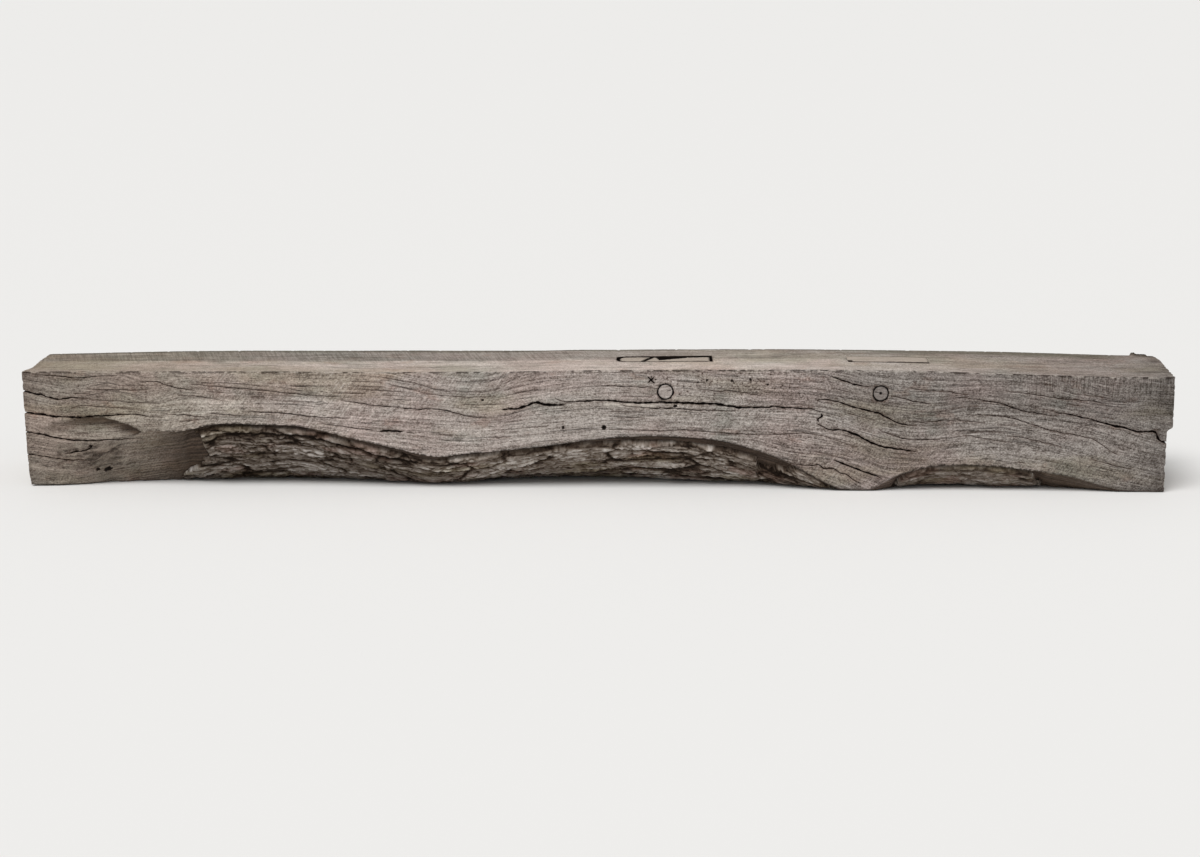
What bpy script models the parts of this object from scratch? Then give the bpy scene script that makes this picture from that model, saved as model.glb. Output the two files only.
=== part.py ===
"""Fireplace mantel: a reclaimed oak beam with its wane and bark left on the lower front edge.

The beam is one timber. Two mortises in its top still hold the sawn-off tenons of the
framing it came from, and a round peg driven in from the front face pins each joint.
X runs along the beam, the front faces -Y, the back lies against the wall at +Y, and
Z is up. The origin is under the middle of the beam, on the plane of its sawn underside.
"""
import math

import bmesh
import bpy
from mathutils import Vector, noise

# Driving dimensions of the timber, in metres
LENGTH = 1.800
DEPTH = 0.183
HEIGHT = 0.1935
FACE_REFERENCE = 0.189      # height that the shares of the wane and the shakes are taken of
WORN_ARRIS = 0.004          # width of the worn front top edge

# Ends, both sawn a little out of square
LEFT_END_SKEW = 0.008       # how much the back of the left end falls short of its front
LEFT_END_UNDERCUT = 0.005   # how much the foot of the left end falls short of its top
RIGHT_END_SKEW = 0.004      # how much the front of the right end falls short of its back
END_STEP = 0.009            # two saw cuts on the right end miss each other by this much
END_STEP_HEIGHT = 0.101     # height of that step above the underside

# Bark that is left on the wane
BARK_THICKNESS = 0.010
BARK_PLATE_LENGTH = 0.055
BARK_PLATE_WIDTH = 0.018
BARK_RELIEF = 0.005
BARK_GROOVE = 0.008         # height of the dark groove between the sawn face and the bark
BARK_GROOVE_DEPTH = 0.009
BARK_SET_BACK = 0.002       # bark stays at least this far behind the sawn face

# Joints: mortises gauged from the back face, tenons sawn off flush, and pegs
FIRST_JOINT_AT = 0.557      # middle of the first mortise as a share of the length
SECOND_JOINT_AT = 0.7535    # middle of the second mortise as a share of the length
MORTISE_WIDTH = 0.050
MORTISE_DEPTH = 0.080
MORTISE_CORNER = 0.018      # corner left round by the auger at the left end of the first mortise
BACK_WALL = 0.067           # wood left between the mortises and the back face
FIRST_MORTISE_LENGTH = 0.152
SECOND_MORTISE_LENGTH = 0.128
TENON_GAP = 0.0006          # tenon to mortise wall, where the joint is tight
TENON_BACK_GAP = 0.0045     # the first tenon is thinner than its mortise
TENON_FRONT_GAP = 0.0025    # the second tenon has shrunk away from the front wall
TENON_SHY = 0.0008          # the saw cut lies this much under the top of the beam
TENON_SPLIT = 0.005         # width of the slanting split across the first tenon
TENON_SPLIT_AT = 0.30       # its place as a share of the mortise's length
TENON_SPLIT_SLANT = 0.014
NOTCH_LENGTH = 0.034        # splintered hollow in the back of the first tenon
NOTCH_WIDTH = 0.020
PEG_DIAMETER = 0.0235
PEG_GAP = 0.0004
PEG_CHAMFER = 0.0008
PEG_TAPER = 0.018           # length of the tapered inner end
FIRST_PEG_DROP = 0.035      # first peg's centre below the front top edge
SECOND_PEG_DROP = 0.037
PEG_SHY = 0.0004            # pegs end this much behind the front face
PEG_BEYOND = 0.020          # how far a peg runs on behind its mortise
SECOND_PEG_OFFSET = 0.018   # the second peg stands left of the middle of its mortise

# Shakes: drying cracks that follow the grain of the front face
SHAKE_DEPTH = 0.022

# Fineness of the solids
STATIONS = 128
BARK_ROWS = 8
FACE_ROWS = 3
ROUND_SIDES = 24

FRONT = -DEPTH / 2
BACK = DEPTH / 2
MORTISE_BACK = BACK - BACK_WALL
MORTISE_FRONT = MORTISE_BACK - MORTISE_WIDTH

# How far the top lies under HEIGHT along the beam:
# share of length, drop at the front edge, drop at the back edge
TOP_DROP = (
    (0.00, 0.0085, 0.0160),
    (0.15, 0.0069, 0.0100),
    (0.33, 0.0064, 0.0069),
    (0.42, 0.0049, 0.0064),
    (0.50, 0.0022, 0.0040),
    (0.63, 0.0000, 0.0025),
    (0.76, 0.0004, 0.0034),
    (0.86, 0.0051, 0.0045),
    (0.94, 0.0088, 0.0082),
    (1.00, 0.0092, 0.0108),
)

# Wane, where the sawn face runs out into the round of the log:
# share of length, top of the wane as a share of FACE_REFERENCE, and how far back it
# reaches on the underside as a share of depth
WANE = (
    (0.000, 0.02, 0.02),
    (0.024, 0.03, 0.04),
    (0.049, 0.14, 0.12),
    (0.073, 0.28, 0.21),
    (0.103, 0.45, 0.26),
    (0.136, 0.48, 0.32),
    (0.170, 0.545, 0.35),
    (0.200, 0.54, 0.39),
    (0.240, 0.525, 0.39),
    (0.283, 0.43, 0.36),
    (0.317, 0.355, 0.30),
    (0.356, 0.275, 0.22),
    (0.383, 0.30, 0.27),
    (0.417, 0.33, 0.43),
    (0.450, 0.365, 0.50),
    (0.490, 0.42, 0.51),
    (0.533, 0.455, 0.47),
    (0.572, 0.45, 0.39),
    (0.605, 0.42, 0.35),
    (0.640, 0.33, 0.33),
    (0.661, 0.25, 0.22),
    (0.683, 0.14, 0.15),
    (0.703, 0.04, 0.08),
    (0.720, 0.02, 0.02),
    (0.736, 0.02, 0.02),
    (0.751, 0.09, 0.09),
    (0.767, 0.15, 0.20),
    (0.789, 0.21, 0.25),
    (0.822, 0.225, 0.25),
    (0.850, 0.21, 0.20),
    (0.883, 0.17, 0.22),
    (0.911, 0.13, 0.15),
    (0.939, 0.06, 0.08),
    (0.961, 0.02, 0.02),
    (1.000, 0.02, 0.02),
)

# Stretches of the wane that still carry bark, as shares of length
BARK_STRIPS = ((0.152, 0.698), (0.757, 0.888))
BARK_END = 0.006            # length over which a strip breaks off, as a share of length
BARE_WANE = 0.0035          # shortest side of the wane where the arris is nearly square

# Width of each shake on the front face and its course as shares of length and FACE_REFERENCE.
# A course that runs past 0 or 1 opens through that end of the beam.
SHAKES = (
    (0.0032, ((-0.003, 0.64), (0.025, 0.61), (0.072, 0.61), (0.095, 0.625), (0.125, 0.60))),
    (0.0030, ((0.274, 0.75), (0.320, 0.695), (0.364, 0.675), (0.387, 0.62), (0.413, 0.605))),
    (0.0040, ((0.461, 0.775), (0.473, 0.75), (0.505, 0.76), (0.553, 0.75), (0.602, 0.735),
              (0.620, 0.705), (0.650, 0.71), (0.690, 0.68))),
    (0.0036, ((0.690, 0.57), (0.712, 0.51), (0.725, 0.465), (0.745, 0.39), (0.757, 0.36),
              (0.778, 0.335))),
    (0.0032, ((0.686, 0.77), (0.701, 0.765), (0.718, 0.72), (0.742, 0.655), (0.761, 0.57),
              (0.776, 0.555))),
    (0.0034, ((0.895, 0.67), (0.921, 0.63), (0.941, 0.58), (0.955, 0.55), (0.980, 0.505),
              (1.003, 0.45))),
)


def through(rows, share):
    """Smooth curve through rows of (share, value, ...), read at one share."""
    last = len(rows) - 1
    k = max(i for i in range(last) if i == 0 or rows[i][0] <= share)
    before, a, b, after = rows[max(k - 1, 0)], rows[k], rows[k + 1], rows[min(k + 2, last)]
    span = b[0] - a[0]
    t = (share - a[0]) / span
    result = []
    for i in range(1, len(a)):
        leave = (b[i] - before[i]) / (b[0] - before[0]) * span
        arrive = (after[i] - a[i]) / (after[0] - a[0]) * span
        result.append((2 * t**3 - 3 * t**2 + 1) * a[i] + (t**3 - 2 * t**2 + t) * leave
                      + (3 * t**2 - 2 * t**3) * b[i] + (t**3 - t**2) * arrive)
    return result


def step(low, high, value):
    """Smooth step from 0 at low to 1 at high."""
    t = min(max((value - low) / (high - low), 0.0), 1.0)
    return t * t * (3 - 2 * t)


def top_height(share, y):
    """Height of the top face at a share of the length and a place across it."""
    front_drop, back_drop = through(TOP_DROP, share)
    return HEIGHT - front_drop + (front_drop - back_drop) * ((y - FRONT) / DEPTH) ** 2


def end_x(share, y, z):
    """Place along the beam at a share of its length, between its two skewed ends."""
    left = -LENGTH / 2 + LEFT_END_SKEW * (y - FRONT) / DEPTH + LEFT_END_UNDERCUT * (1 - z / HEIGHT)
    right = LENGTH / 2 - RIGHT_END_SKEW * (BACK - y) / DEPTH
    return left + (right - left) * share


def bark_cover(share):
    """1 where the wane carries bark, 0 where it is bare wood."""
    return sum(step(start, start + BARK_END, share) - step(end - BARK_END, end, share)
               for start, end in BARK_STRIPS)


def bark_relief(share, across):
    """How far the plates of the bark stand out of the furrows between them."""
    place = Vector((share * LENGTH / BARK_PLATE_LENGTH, across / BARK_PLATE_WIDTH, 0.0))
    distances = noise.voronoi(place)[0]
    plate = step(0.0, 0.45, distances[1] - distances[0])
    return BARK_RELIEF * (plate - 1 + 0.4 * noise.noise(place * 0.5))


def wane_rows(share):
    """Points (y, z) down the wane at one station, from the sawn face to the underside."""
    height_share, reach_share = through(WANE, share)
    height = max(height_share * FACE_REFERENCE, BARE_WANE)
    reach = max(reach_share * DEPTH, BARE_WANE)
    chord = math.hypot(height, reach)
    cover = bark_cover(share)
    bulge = 0.13 * chord

    def outer(t, sink):
        out = 4 * bulge * t * (1 - t) - sink
        y = FRONT + reach * t - out * height / chord
        z = height * (1 - t) - out * reach / chord
        return y, z

    def bare(t):
        return outer(t, min(BARK_THICKNESS, 0.3 * chord) * cover_fade * math.sin(math.pi * t))

    cover_fade = min(1.0, chord / 0.08)
    inner_y = FRONT + BARK_GROOVE_DEPTH
    barked = [(inner_y, height - 0.2 * BARK_GROOVE),
              (inner_y, height - BARK_GROOVE),
              (FRONT + BARK_SET_BACK, height - 1.1 * BARK_GROOVE)]
    plain = [bare(0.04), bare(0.08), bare(0.12)]
    for row in range(BARK_ROWS):
        t = 0.12 + 0.83 * (row + 1) / BARK_ROWS
        relief = bark_relief(share, t * chord) * math.sin(math.pi * t) ** 0.5
        barked.append(outer(t, -relief))
        plain.append(bare(t))
    rows = [(FRONT, height)]
    for (by, bz), (py, pz) in zip(barked, plain):
        y = by * cover + py * (1 - cover)
        z = bz * cover + pz * (1 - cover)
        hold_back = BARK_SET_BACK * cover
        rows.append((max(y, FRONT + hold_back), max(z, 0.0005)))
    rows.append((FRONT + reach, 0.0))
    return rows


def section(share):
    """Closed outline (y, z) of the beam at one station, starting at the back of the underside."""
    top_back = top_height(share, BACK)
    top_front = top_height(share, FRONT)
    outline = [(BACK, 0.0), (BACK, top_back / 2), (BACK, top_back)]
    for across in (0.75, 0.5, 0.25):
        y = FRONT + across * DEPTH
        outline.append((y, top_height(share, y)))
    outline.append((FRONT + WORN_ARRIS, top_front))
    wane = wane_rows(share)
    face_top = top_front - WORN_ARRIS
    for row in range(FACE_ROWS):
        z = face_top + (wane[0][1] - face_top) * row / FACE_ROWS
        outline.append((FRONT, z))
    outline += wane
    outline.append(((wane[-1][0] + BACK) / 2, 0.0))
    return outline


def mesh_object(name, vertices, faces, material=None):
    """New object from points and faces, with its faces turned outward."""
    mesh = bpy.data.meshes.new(name)
    mesh.from_pydata(vertices, [], faces)
    shape = bmesh.new()
    shape.from_mesh(mesh)
    bmesh.ops.recalc_face_normals(shape, faces=shape.faces)
    shape.to_mesh(mesh)
    shape.free()
    obj = bpy.data.objects.new(name, mesh)
    bpy.context.scene.collection.objects.link(obj)
    if material:
        mesh.materials.append(material)
    return obj


def loft(name, rings, material=None):
    """Closed skin over a row of rings that have as many points each."""
    count = len(rings[0])
    vertices = [point for ring in rings for point in ring]
    faces = []
    for i in range(len(rings) - 1):
        for j in range(count):
            k = (j + 1) % count
            faces.append((i * count + j, i * count + k, (i + 1) * count + k, (i + 1) * count + j))
    faces.append(tuple(range(count)))
    faces.append(tuple(range((len(rings) - 1) * count, len(rings) * count)))
    return mesh_object(name, vertices, faces, material)


def material(name, color, roughness):
    """Wood or bark surface in one plain colour."""
    result = bpy.data.materials.new(name)
    result.use_nodes = True
    shader = result.node_tree.nodes["Principled BSDF"]
    shader.inputs["Base Color"].default_value = (*color, 1.0)
    shader.inputs["Roughness"].default_value = roughness
    shader.inputs["Metallic"].default_value = 0.0
    return result


def cutter(obj):
    """Mark an object as a cutting shape, which is no part of the mantel."""
    obj.hide_render = True
    obj.display_type = 'WIRE'
    return obj


def cut(obj, shapes):
    """Take each cutting shape out of an object."""
    for shape in shapes:
        boolean = obj.modifiers.new("cut " + shape.name, 'BOOLEAN')
        boolean.operation = 'DIFFERENCE'
        boolean.solver = 'EXACT'
        boolean.object = shape


def make_beam(oak):
    """The timber itself, skinned over its sections from end to end."""
    rings = []
    for i in range(STATIONS + 1):
        share = i / STATIONS
        rings.append([(end_x(share, y, z), y, z) for y, z in section(share)])
    return loft("beam", rings, oak)


def make_shake(number, width, course):
    """Wedge that opens one shake along its course, deepest in the middle."""
    beyond = WORN_ARRIS
    rings = []
    pieces = 4 * (len(course) - 1)
    start, end = course[0][0], course[-1][0]
    for i in range(pieces + 1):
        along = i / pieces
        share = start + (end - start) * along
        height = through(course, share)[0] * FACE_REFERENCE
        if start < 0:
            along = 0.5 + 0.5 * along
        elif end > 1:
            along = 0.5 * along
        fullness = max(0.12, math.sin(math.pi * along) ** 0.6)
        depth = SHAKE_DEPTH * fullness
        half = width / 2 * fullness * (depth + beyond) / depth
        x = end_x(share, FRONT, height)
        rings.append([(x, FRONT - beyond, height - half),
                      (x, FRONT - beyond, height + half),
                      (x, FRONT + depth, height)])
    return cutter(loft(f"shake_{number}", rings))


def make_end_step():
    """Block that the lower saw cut took off the right end."""
    beyond = 0.05
    front_x = end_x(1.0, FRONT - beyond, 0.0) - END_STEP
    back_x = end_x(1.0, BACK + beyond, 0.0) - END_STEP
    outer_x = LENGTH / 2 + beyond
    plan = [(front_x, FRONT - beyond), (outer_x, FRONT - beyond),
            (outer_x, BACK + beyond), (back_x, BACK + beyond)]
    rings = [[(x, y, z) for x, y in plan] for z in (-beyond, END_STEP_HEIGHT)]
    return cutter(loft("end_step", rings))


def rounded_plan(x0, x1, y0, y1, left_corner, right_corner):
    """Plan of a mortise or tenon with round corners, counter-clockwise from its left front."""
    plan = []
    corners = ((x0, y0, 1, 1, 180, left_corner), (x1, y0, -1, 1, 270, right_corner),
               (x1, y1, -1, -1, 0, right_corner), (x0, y1, 1, -1, 90, left_corner))
    for x, y, to_x, to_y, start, radius in corners:
        turns = 5 if radius > 0.003 else 1
        for i in range(turns + 1):
            angle = math.radians(start + 90 * i / turns)
            plan.append((x + to_x * radius + radius * math.cos(angle),
                         y + to_y * radius + radius * math.sin(angle)))
    return plan


def make_mortise(name, x0, x1, left_corner):
    """Pocket cut down from the top of the beam."""
    plan = rounded_plan(x0, x1, MORTISE_FRONT, MORTISE_BACK, left_corner, 0.001)
    floor = HEIGHT - MORTISE_DEPTH
    rings = [[(x, y, z) for x, y in plan] for z in (floor, HEIGHT + 0.02)]
    return cutter(loft(name, rings))


def make_tenon(name, plan, oak):
    """Stub of a tenon, sawn off just under the top of the beam."""
    floor = HEIGHT - MORTISE_DEPTH + TENON_GAP
    foot = [(x, y, floor) for x, y in plan]
    head = [(x, y, top_height(x / LENGTH + 0.5, y) - TENON_SHY) for x, y in plan]
    return loft(name, [foot, head], oak)


def first_tenon_plans(x0, x1):
    """Plans of the two halves of the first tenon, on either side of the slanting split."""
    front = MORTISE_FRONT + TENON_GAP
    back = MORTISE_BACK - TENON_BACK_GAP
    middle = x0 + TENON_SPLIT_AT * (x1 - x0)
    whole = rounded_plan(x0 + TENON_GAP, middle, front, back, MORTISE_CORNER - TENON_GAP, 0.001)
    left = [(x, y) for x, y in whole if x < middle - MORTISE_CORNER]
    left_front = [(x, y) for x, y in left if y < (front + back) / 2]
    left_back = [(x, y) for x, y in left if y >= (front + back) / 2]
    half_slant = TENON_SPLIT_SLANT / 2
    left = left_front + [(middle - half_slant, front), (middle + half_slant, back)] + left_back
    start = middle + TENON_SPLIT
    end = x1 - TENON_GAP
    notch = start + half_slant + 0.004
    right = [(start - half_slant, front), (end, front), (end, back),
             (notch + NOTCH_LENGTH, back), (notch + 0.6 * NOTCH_LENGTH, back - 0.5 * NOTCH_WIDTH),
             (notch + 0.1 * NOTCH_LENGTH, back - NOTCH_WIDTH), (notch, back),
             (start + half_slant, back)]
    return left, right


def second_tenon_plan(x0, x1):
    """Plan of the second tenon: one front corner is broken, and it tapers to the right."""
    left = x0 + TENON_GAP
    right = x1 - TENON_GAP
    front = MORTISE_FRONT + TENON_FRONT_GAP
    back = MORTISE_BACK - TENON_GAP
    corner = 2.5 * TENON_FRONT_GAP
    return [(left, front + corner), (left + corner, front + corner), (left + corner, front),
            (left + 0.6 * (right - left), front),
            (left + 0.7 * (right - left), front + 0.7 * TENON_FRONT_GAP),
            (right, front + 0.7 * TENON_FRONT_GAP), (right, back), (left, back)]


def turned(name, x, z, profile, oak=None):
    """Round piece along Y from rows of (y, radius), front to back."""
    rings = []
    for y, radius in profile:
        angles = [2 * math.pi * i / ROUND_SIDES for i in range(ROUND_SIDES)]
        rings.append([(x + radius * math.cos(a), y, z + radius * math.sin(a)) for a in angles])
    return loft(name, rings, oak)


def make_peg(name, x, z, oak):
    """Oak peg, flush with the front face, with a tapered inner end."""
    radius = PEG_DIAMETER / 2
    head = FRONT + PEG_SHY
    foot = MORTISE_BACK + PEG_BEYOND
    return turned(name, x, z, ((head, radius - PEG_CHAMFER), (head + PEG_CHAMFER, radius),
                               (foot - PEG_TAPER, radius), (foot, 0.6 * radius)), oak)


def make_peg_hole(name, x, z):
    """Blind auger hole for a peg."""
    radius = PEG_DIAMETER / 2 + PEG_GAP
    foot = MORTISE_BACK + PEG_BEYOND + PEG_GAP
    return cutter(turned(name, x, z, ((FRONT - 0.02, radius), (foot, radius))))


def build():
    """All the pieces of the mantel, each cut to fit its neighbours."""
    for obj in list(bpy.data.objects):
        bpy.data.objects.remove(obj, do_unlink=True)
    weathered_oak = material("weathered oak", (0.235, 0.195, 0.170), 0.85)
    tenon_oak = material("old tenon oak", (0.330, 0.280, 0.235), 0.85)
    peg_oak = material("peg oak", (0.255, 0.215, 0.190), 0.80)

    beam = make_beam(weathered_oak)
    first_x = (FIRST_JOINT_AT - 0.5) * LENGTH
    second_x = (SECOND_JOINT_AT - 0.5) * LENGTH
    first = (first_x - FIRST_MORTISE_LENGTH / 2, first_x + FIRST_MORTISE_LENGTH / 2)
    second = (second_x - SECOND_MORTISE_LENGTH / 2, second_x + SECOND_MORTISE_LENGTH / 2)
    cut(beam, [make_end_step(),
               make_mortise("mortise_1", *first, MORTISE_CORNER),
               make_mortise("mortise_2", *second, 0.001)])

    left_plan, right_plan = first_tenon_plans(*first)
    tenons = [make_tenon("tenon_1_left", left_plan, tenon_oak),
              make_tenon("tenon_1_right", right_plan, tenon_oak),
              make_tenon("tenon_2", second_tenon_plan(*second), tenon_oak)]
    pegs_at = (("1", first_x, FIRST_PEG_DROP), ("2", second_x - SECOND_PEG_OFFSET, SECOND_PEG_DROP))
    for number, x, drop in pegs_at:
        z = top_height(x / LENGTH + 0.5, FRONT) - drop
        make_peg("peg_" + number, x, z, peg_oak)
        hole = make_peg_hole("peg_hole_" + number, x, z)
        cut(beam, [hole])
        for tenon in tenons:
            if tenon.name.startswith("tenon_" + number):
                cut(tenon, [hole])

    cut(beam, [make_shake(number, width, course)
               for number, (width, course) in enumerate(SHAKES, 1)])


build()
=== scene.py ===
import math

import bmesh
import bpy
import numpy as np
from mathutils import Matrix, Vector, kdtree, noise
from mathutils.geometry import delaunay_2d_cdt


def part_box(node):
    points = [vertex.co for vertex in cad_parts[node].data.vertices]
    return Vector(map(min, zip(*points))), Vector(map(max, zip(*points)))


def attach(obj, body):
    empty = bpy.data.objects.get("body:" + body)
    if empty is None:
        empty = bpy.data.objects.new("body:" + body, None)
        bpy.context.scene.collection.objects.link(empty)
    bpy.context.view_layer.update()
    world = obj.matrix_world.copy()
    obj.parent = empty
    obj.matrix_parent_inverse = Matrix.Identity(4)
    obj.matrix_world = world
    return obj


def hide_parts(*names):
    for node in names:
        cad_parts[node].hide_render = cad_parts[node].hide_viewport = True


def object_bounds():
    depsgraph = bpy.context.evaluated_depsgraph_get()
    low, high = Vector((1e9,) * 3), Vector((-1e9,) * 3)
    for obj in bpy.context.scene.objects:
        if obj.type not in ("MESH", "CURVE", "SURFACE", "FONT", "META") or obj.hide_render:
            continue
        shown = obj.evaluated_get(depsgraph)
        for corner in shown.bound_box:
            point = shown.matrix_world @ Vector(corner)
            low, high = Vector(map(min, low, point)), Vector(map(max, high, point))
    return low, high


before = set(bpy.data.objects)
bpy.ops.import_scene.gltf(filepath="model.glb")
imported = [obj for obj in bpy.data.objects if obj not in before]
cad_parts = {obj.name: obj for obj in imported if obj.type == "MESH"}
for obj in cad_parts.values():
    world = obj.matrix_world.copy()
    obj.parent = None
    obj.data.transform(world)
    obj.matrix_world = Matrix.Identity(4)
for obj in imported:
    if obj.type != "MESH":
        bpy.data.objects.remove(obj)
cad_low, cad_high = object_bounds()
MM = 0.001

# Studio: a white room for one long beam.
# The floor is plain and pale, one broad lamp hangs in front of and above the beam, and the
# camera stands where the photographer stood, a little above the beam and square to it.
CAMERA_ELEVATION = math.radians(12.396)
CAMERA_DISTANCE = 4.539
CAMERA_ROLL = math.radians(0.27)
CAMERA_TARGET = Vector((0.0009, 0.0, 0.092))
FOCAL_PIXELS = 2846.5
PHOTO_WIDTH = 1200
PHOTO_HEIGHT = 857
TARGET_ROW = 420.0


def linear(code):
    """sRGB hex colour as linear red, green, blue and alpha."""
    parts = [int(code[i:i + 2], 16) / 255 for i in (1, 3, 5)]
    return [c / 12.92 if c <= 0.04045 else ((c + 0.055) / 1.055) ** 2.4 for c in parts] + [1.0]


def add(tree, kind, inputs=None, stops=None, **settings):
    """New node with its settings, its input values or links, and the stops of its ramp."""
    made = tree.nodes.new(kind)
    for name, value in settings.items():
        setattr(made, name, value)
    for place, value in (inputs or {}).items():
        if isinstance(value, bpy.types.NodeSocket):
            tree.links.new(value, made.inputs[place])
        else:
            made.inputs[place].default_value = value
    if stops:
        ramp = made.color_ramp.elements
        while len(ramp) < len(stops):
            ramp.new(0.5)
        for stop, (place, color) in zip(ramp, stops):
            stop.position = place
            stop.color = linear(color)
    return made


def new_material(name, ior=1.45, specular=0.35):
    """Empty node material with its Principled shader."""
    made = bpy.data.materials.new(name)
    made.use_nodes = True
    shader = made.node_tree.nodes["Principled BSDF"]
    shader.inputs["IOR"].default_value = ior
    shader.inputs["Specular IOR Level"].default_value = specular
    return made, made.node_tree, shader


lens = bpy.data.cameras.new("camera")
lens.sensor_width = 36.0
lens.lens = FOCAL_PIXELS / PHOTO_WIDTH * lens.sensor_width
lens.shift_y = (TARGET_ROW - PHOTO_HEIGHT / 2) / PHOTO_WIDTH
camera = bpy.data.objects.new("camera", lens)
bpy.context.scene.collection.objects.link(camera)
back_off = Vector((0.0, -math.cos(CAMERA_ELEVATION), math.sin(CAMERA_ELEVATION)))
camera.location = CAMERA_TARGET + back_off * CAMERA_DISTANCE
camera.rotation_mode = 'QUATERNION'
aim = (-back_off).to_track_quat('-Z', 'Y').to_matrix()
camera.rotation_quaternion = (aim @ Matrix.Rotation(CAMERA_ROLL, 3, 'Z')).to_quaternion()
bpy.context.scene.camera = camera
bpy.context.scene.view_settings.view_transform = 'Standard'

FLOOR_SIZE = 60.0
FLOOR_GAP = 0.5 * MM
floor_mesh = bpy.data.meshes.new("floor")
half = FLOOR_SIZE / 2
floor_mesh.from_pydata([(-half, -half, 0), (half, -half, 0), (half, half, 0), (-half, half, 0)],
                       [], [(0, 1, 2, 3)])
floor = bpy.data.objects.new("floor", floor_mesh)
bpy.context.scene.collection.objects.link(floor)
floor.location.z = -FLOOR_GAP
# Matt pale paint: it keeps the picture bright round the beam and holds a soft shadow.
pale_paint, tree, shader = new_material("pale matt floor paint")
shader.inputs["Base Color"].default_value = linear("#e9e8e6")
shader.inputs["Roughness"].default_value = 0.95
floor_mesh.materials.append(pale_paint)

ROOM_LIGHT = 0.40
LAMP_LIGHT = 2.35
LAMP_SOFTNESS = math.radians(38)
LAMP_DIRECTION = Vector((0.22, 0.42, -0.88))
world = bpy.data.worlds.new("white room")
bpy.context.scene.world = world
world.use_nodes = True
background = world.node_tree.nodes["Background"]
background.inputs["Color"].default_value = linear("#ffffff")
background.inputs["Strength"].default_value = ROOM_LIGHT

light = bpy.data.lights.new("broad lamp", 'SUN')
light.energy = LAMP_LIGHT
light.angle = LAMP_SOFTNESS
lamp = bpy.data.objects.new("broad lamp", light)
lamp.rotation_mode = 'QUATERNION'
lamp.rotation_quaternion = LAMP_DIRECTION.to_track_quat('-Z', 'Y')
bpy.context.scene.collection.objects.link(lamp)


# Timber: one reclaimed oak beam, sawn on four sides and weathered to grey-brown.
# Its lower front edge runs out into the round of the log (the wane), drying has opened
# shakes along the grain, and both ends were sawn off a little out of square.
GRAIN_ROOM = 0.3 * MM       # left free over the top for the ridges of the grain
LENGTH = cad_high.x - cad_low.x
DEPTH = cad_high.y - cad_low.y
HEIGHT = cad_high.z - cad_low.z - GRAIN_ROOM
FACE_REFERENCE = 189 * MM   # height that the shares of the wane are taken of
FRONT = cad_low.y
BACK = cad_high.y
MIDDLE = (cad_low.x + cad_high.x) / 2

# The skin is laid out flat: u runs along the beam, and v runs round it, up the back, forward
# over the top, down the face and back under the beam.
TOP_START = HEIGHT
FACE_START = HEIGHT + DEPTH
UNDER_START = 2 * HEIGHT + DEPTH
ROUND = 2 * HEIGHT + 2 * DEPTH

# Share of length, drop of the top at the front edge and at the back edge, in mm
TOP_DROP = ((0.00, 8.5, 16.0), (0.15, 6.9, 10.0), (0.33, 6.4, 6.9), (0.42, 4.9, 6.4),
            (0.50, 2.2, 4.0), (0.63, 0.0, 2.5), (0.76, 0.4, 3.4), (0.86, 5.1, 4.5),
            (0.94, 8.8, 8.2), (1.00, 9.2, 10.8))

# Share of length, top of the wane as a share of the height, its reach back as a share of depth
WANE = ((0.000, 0.02, 0.02), (0.024, 0.03, 0.04), (0.049, 0.14, 0.12), (0.073, 0.28, 0.21),
        (0.103, 0.45, 0.26), (0.136, 0.48, 0.32), (0.170, 0.545, 0.35), (0.200, 0.54, 0.39),
        (0.240, 0.525, 0.39), (0.283, 0.43, 0.36), (0.317, 0.355, 0.30), (0.356, 0.275, 0.22),
        (0.383, 0.30, 0.27), (0.417, 0.33, 0.43), (0.450, 0.365, 0.50), (0.490, 0.42, 0.51),
        (0.533, 0.455, 0.47), (0.572, 0.45, 0.39), (0.605, 0.42, 0.35), (0.640, 0.33, 0.33),
        (0.661, 0.25, 0.22), (0.683, 0.14, 0.15), (0.703, 0.04, 0.08), (0.720, 0.02, 0.02),
        (0.736, 0.02, 0.02), (0.751, 0.09, 0.09), (0.767, 0.15, 0.20), (0.789, 0.21, 0.25),
        (0.822, 0.225, 0.25), (0.850, 0.21, 0.20), (0.883, 0.17, 0.22), (0.911, 0.13, 0.15),
        (0.939, 0.06, 0.08), (0.961, 0.02, 0.02), (1.000, 0.02, 0.02))
BARE_WANE = 3.5 * MM        # the least that the lower front edge is rounded
WANE_BULGE = 0.52           # how much rounder than a flat chamfer the wane is
WANE_FOOT_RAGGED = 5 * MM
BARK_THICKNESS = 10 * MM


def curve(rows, at):
    """Smooth curve through rows of (place, value, ...), read at an array of places."""
    rows = np.array(rows, float)
    place, value = rows[:, 0], rows[:, 1:]
    slope = np.gradient(value, place, axis=0)
    slope[1:-1] = (value[2:] - value[:-2]) / (place[2:] - place[:-2])[:, None]
    k = np.clip(np.searchsorted(place, at, side='right') - 1, 0, len(place) - 2)
    span = (place[k + 1] - place[k])[:, None]
    t = np.clip((at - place[k])[:, None] / span, 0, 1)
    return ((2 * t**3 - 3 * t**2 + 1) * value[k] + (t**3 - 2 * t**2 + t) * slope[k] * span
            + (3 * t**2 - 2 * t**3) * value[k + 1] + (t**3 - t**2) * slope[k + 1] * span)


def step(low, high, value):
    """Smooth step from 0 at low to 1 at high."""
    t = np.clip((value - low) / (high - low), 0.0, 1.0)
    return t * t * (3 - 2 * t)


def ripple(places, scale, octaves=1):
    """Perlin noise from -1 to 1 at rows of coordinates, each multiplied by its scale."""
    rows = np.asarray(places, float) * np.asarray(scale, float)
    if octaves == 1:
        return np.array([noise.noise(p) for p in rows.tolist()])
    return np.array([noise.fractal(p, 0.7, 2.0, octaves) for p in rows.tolist()])


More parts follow.
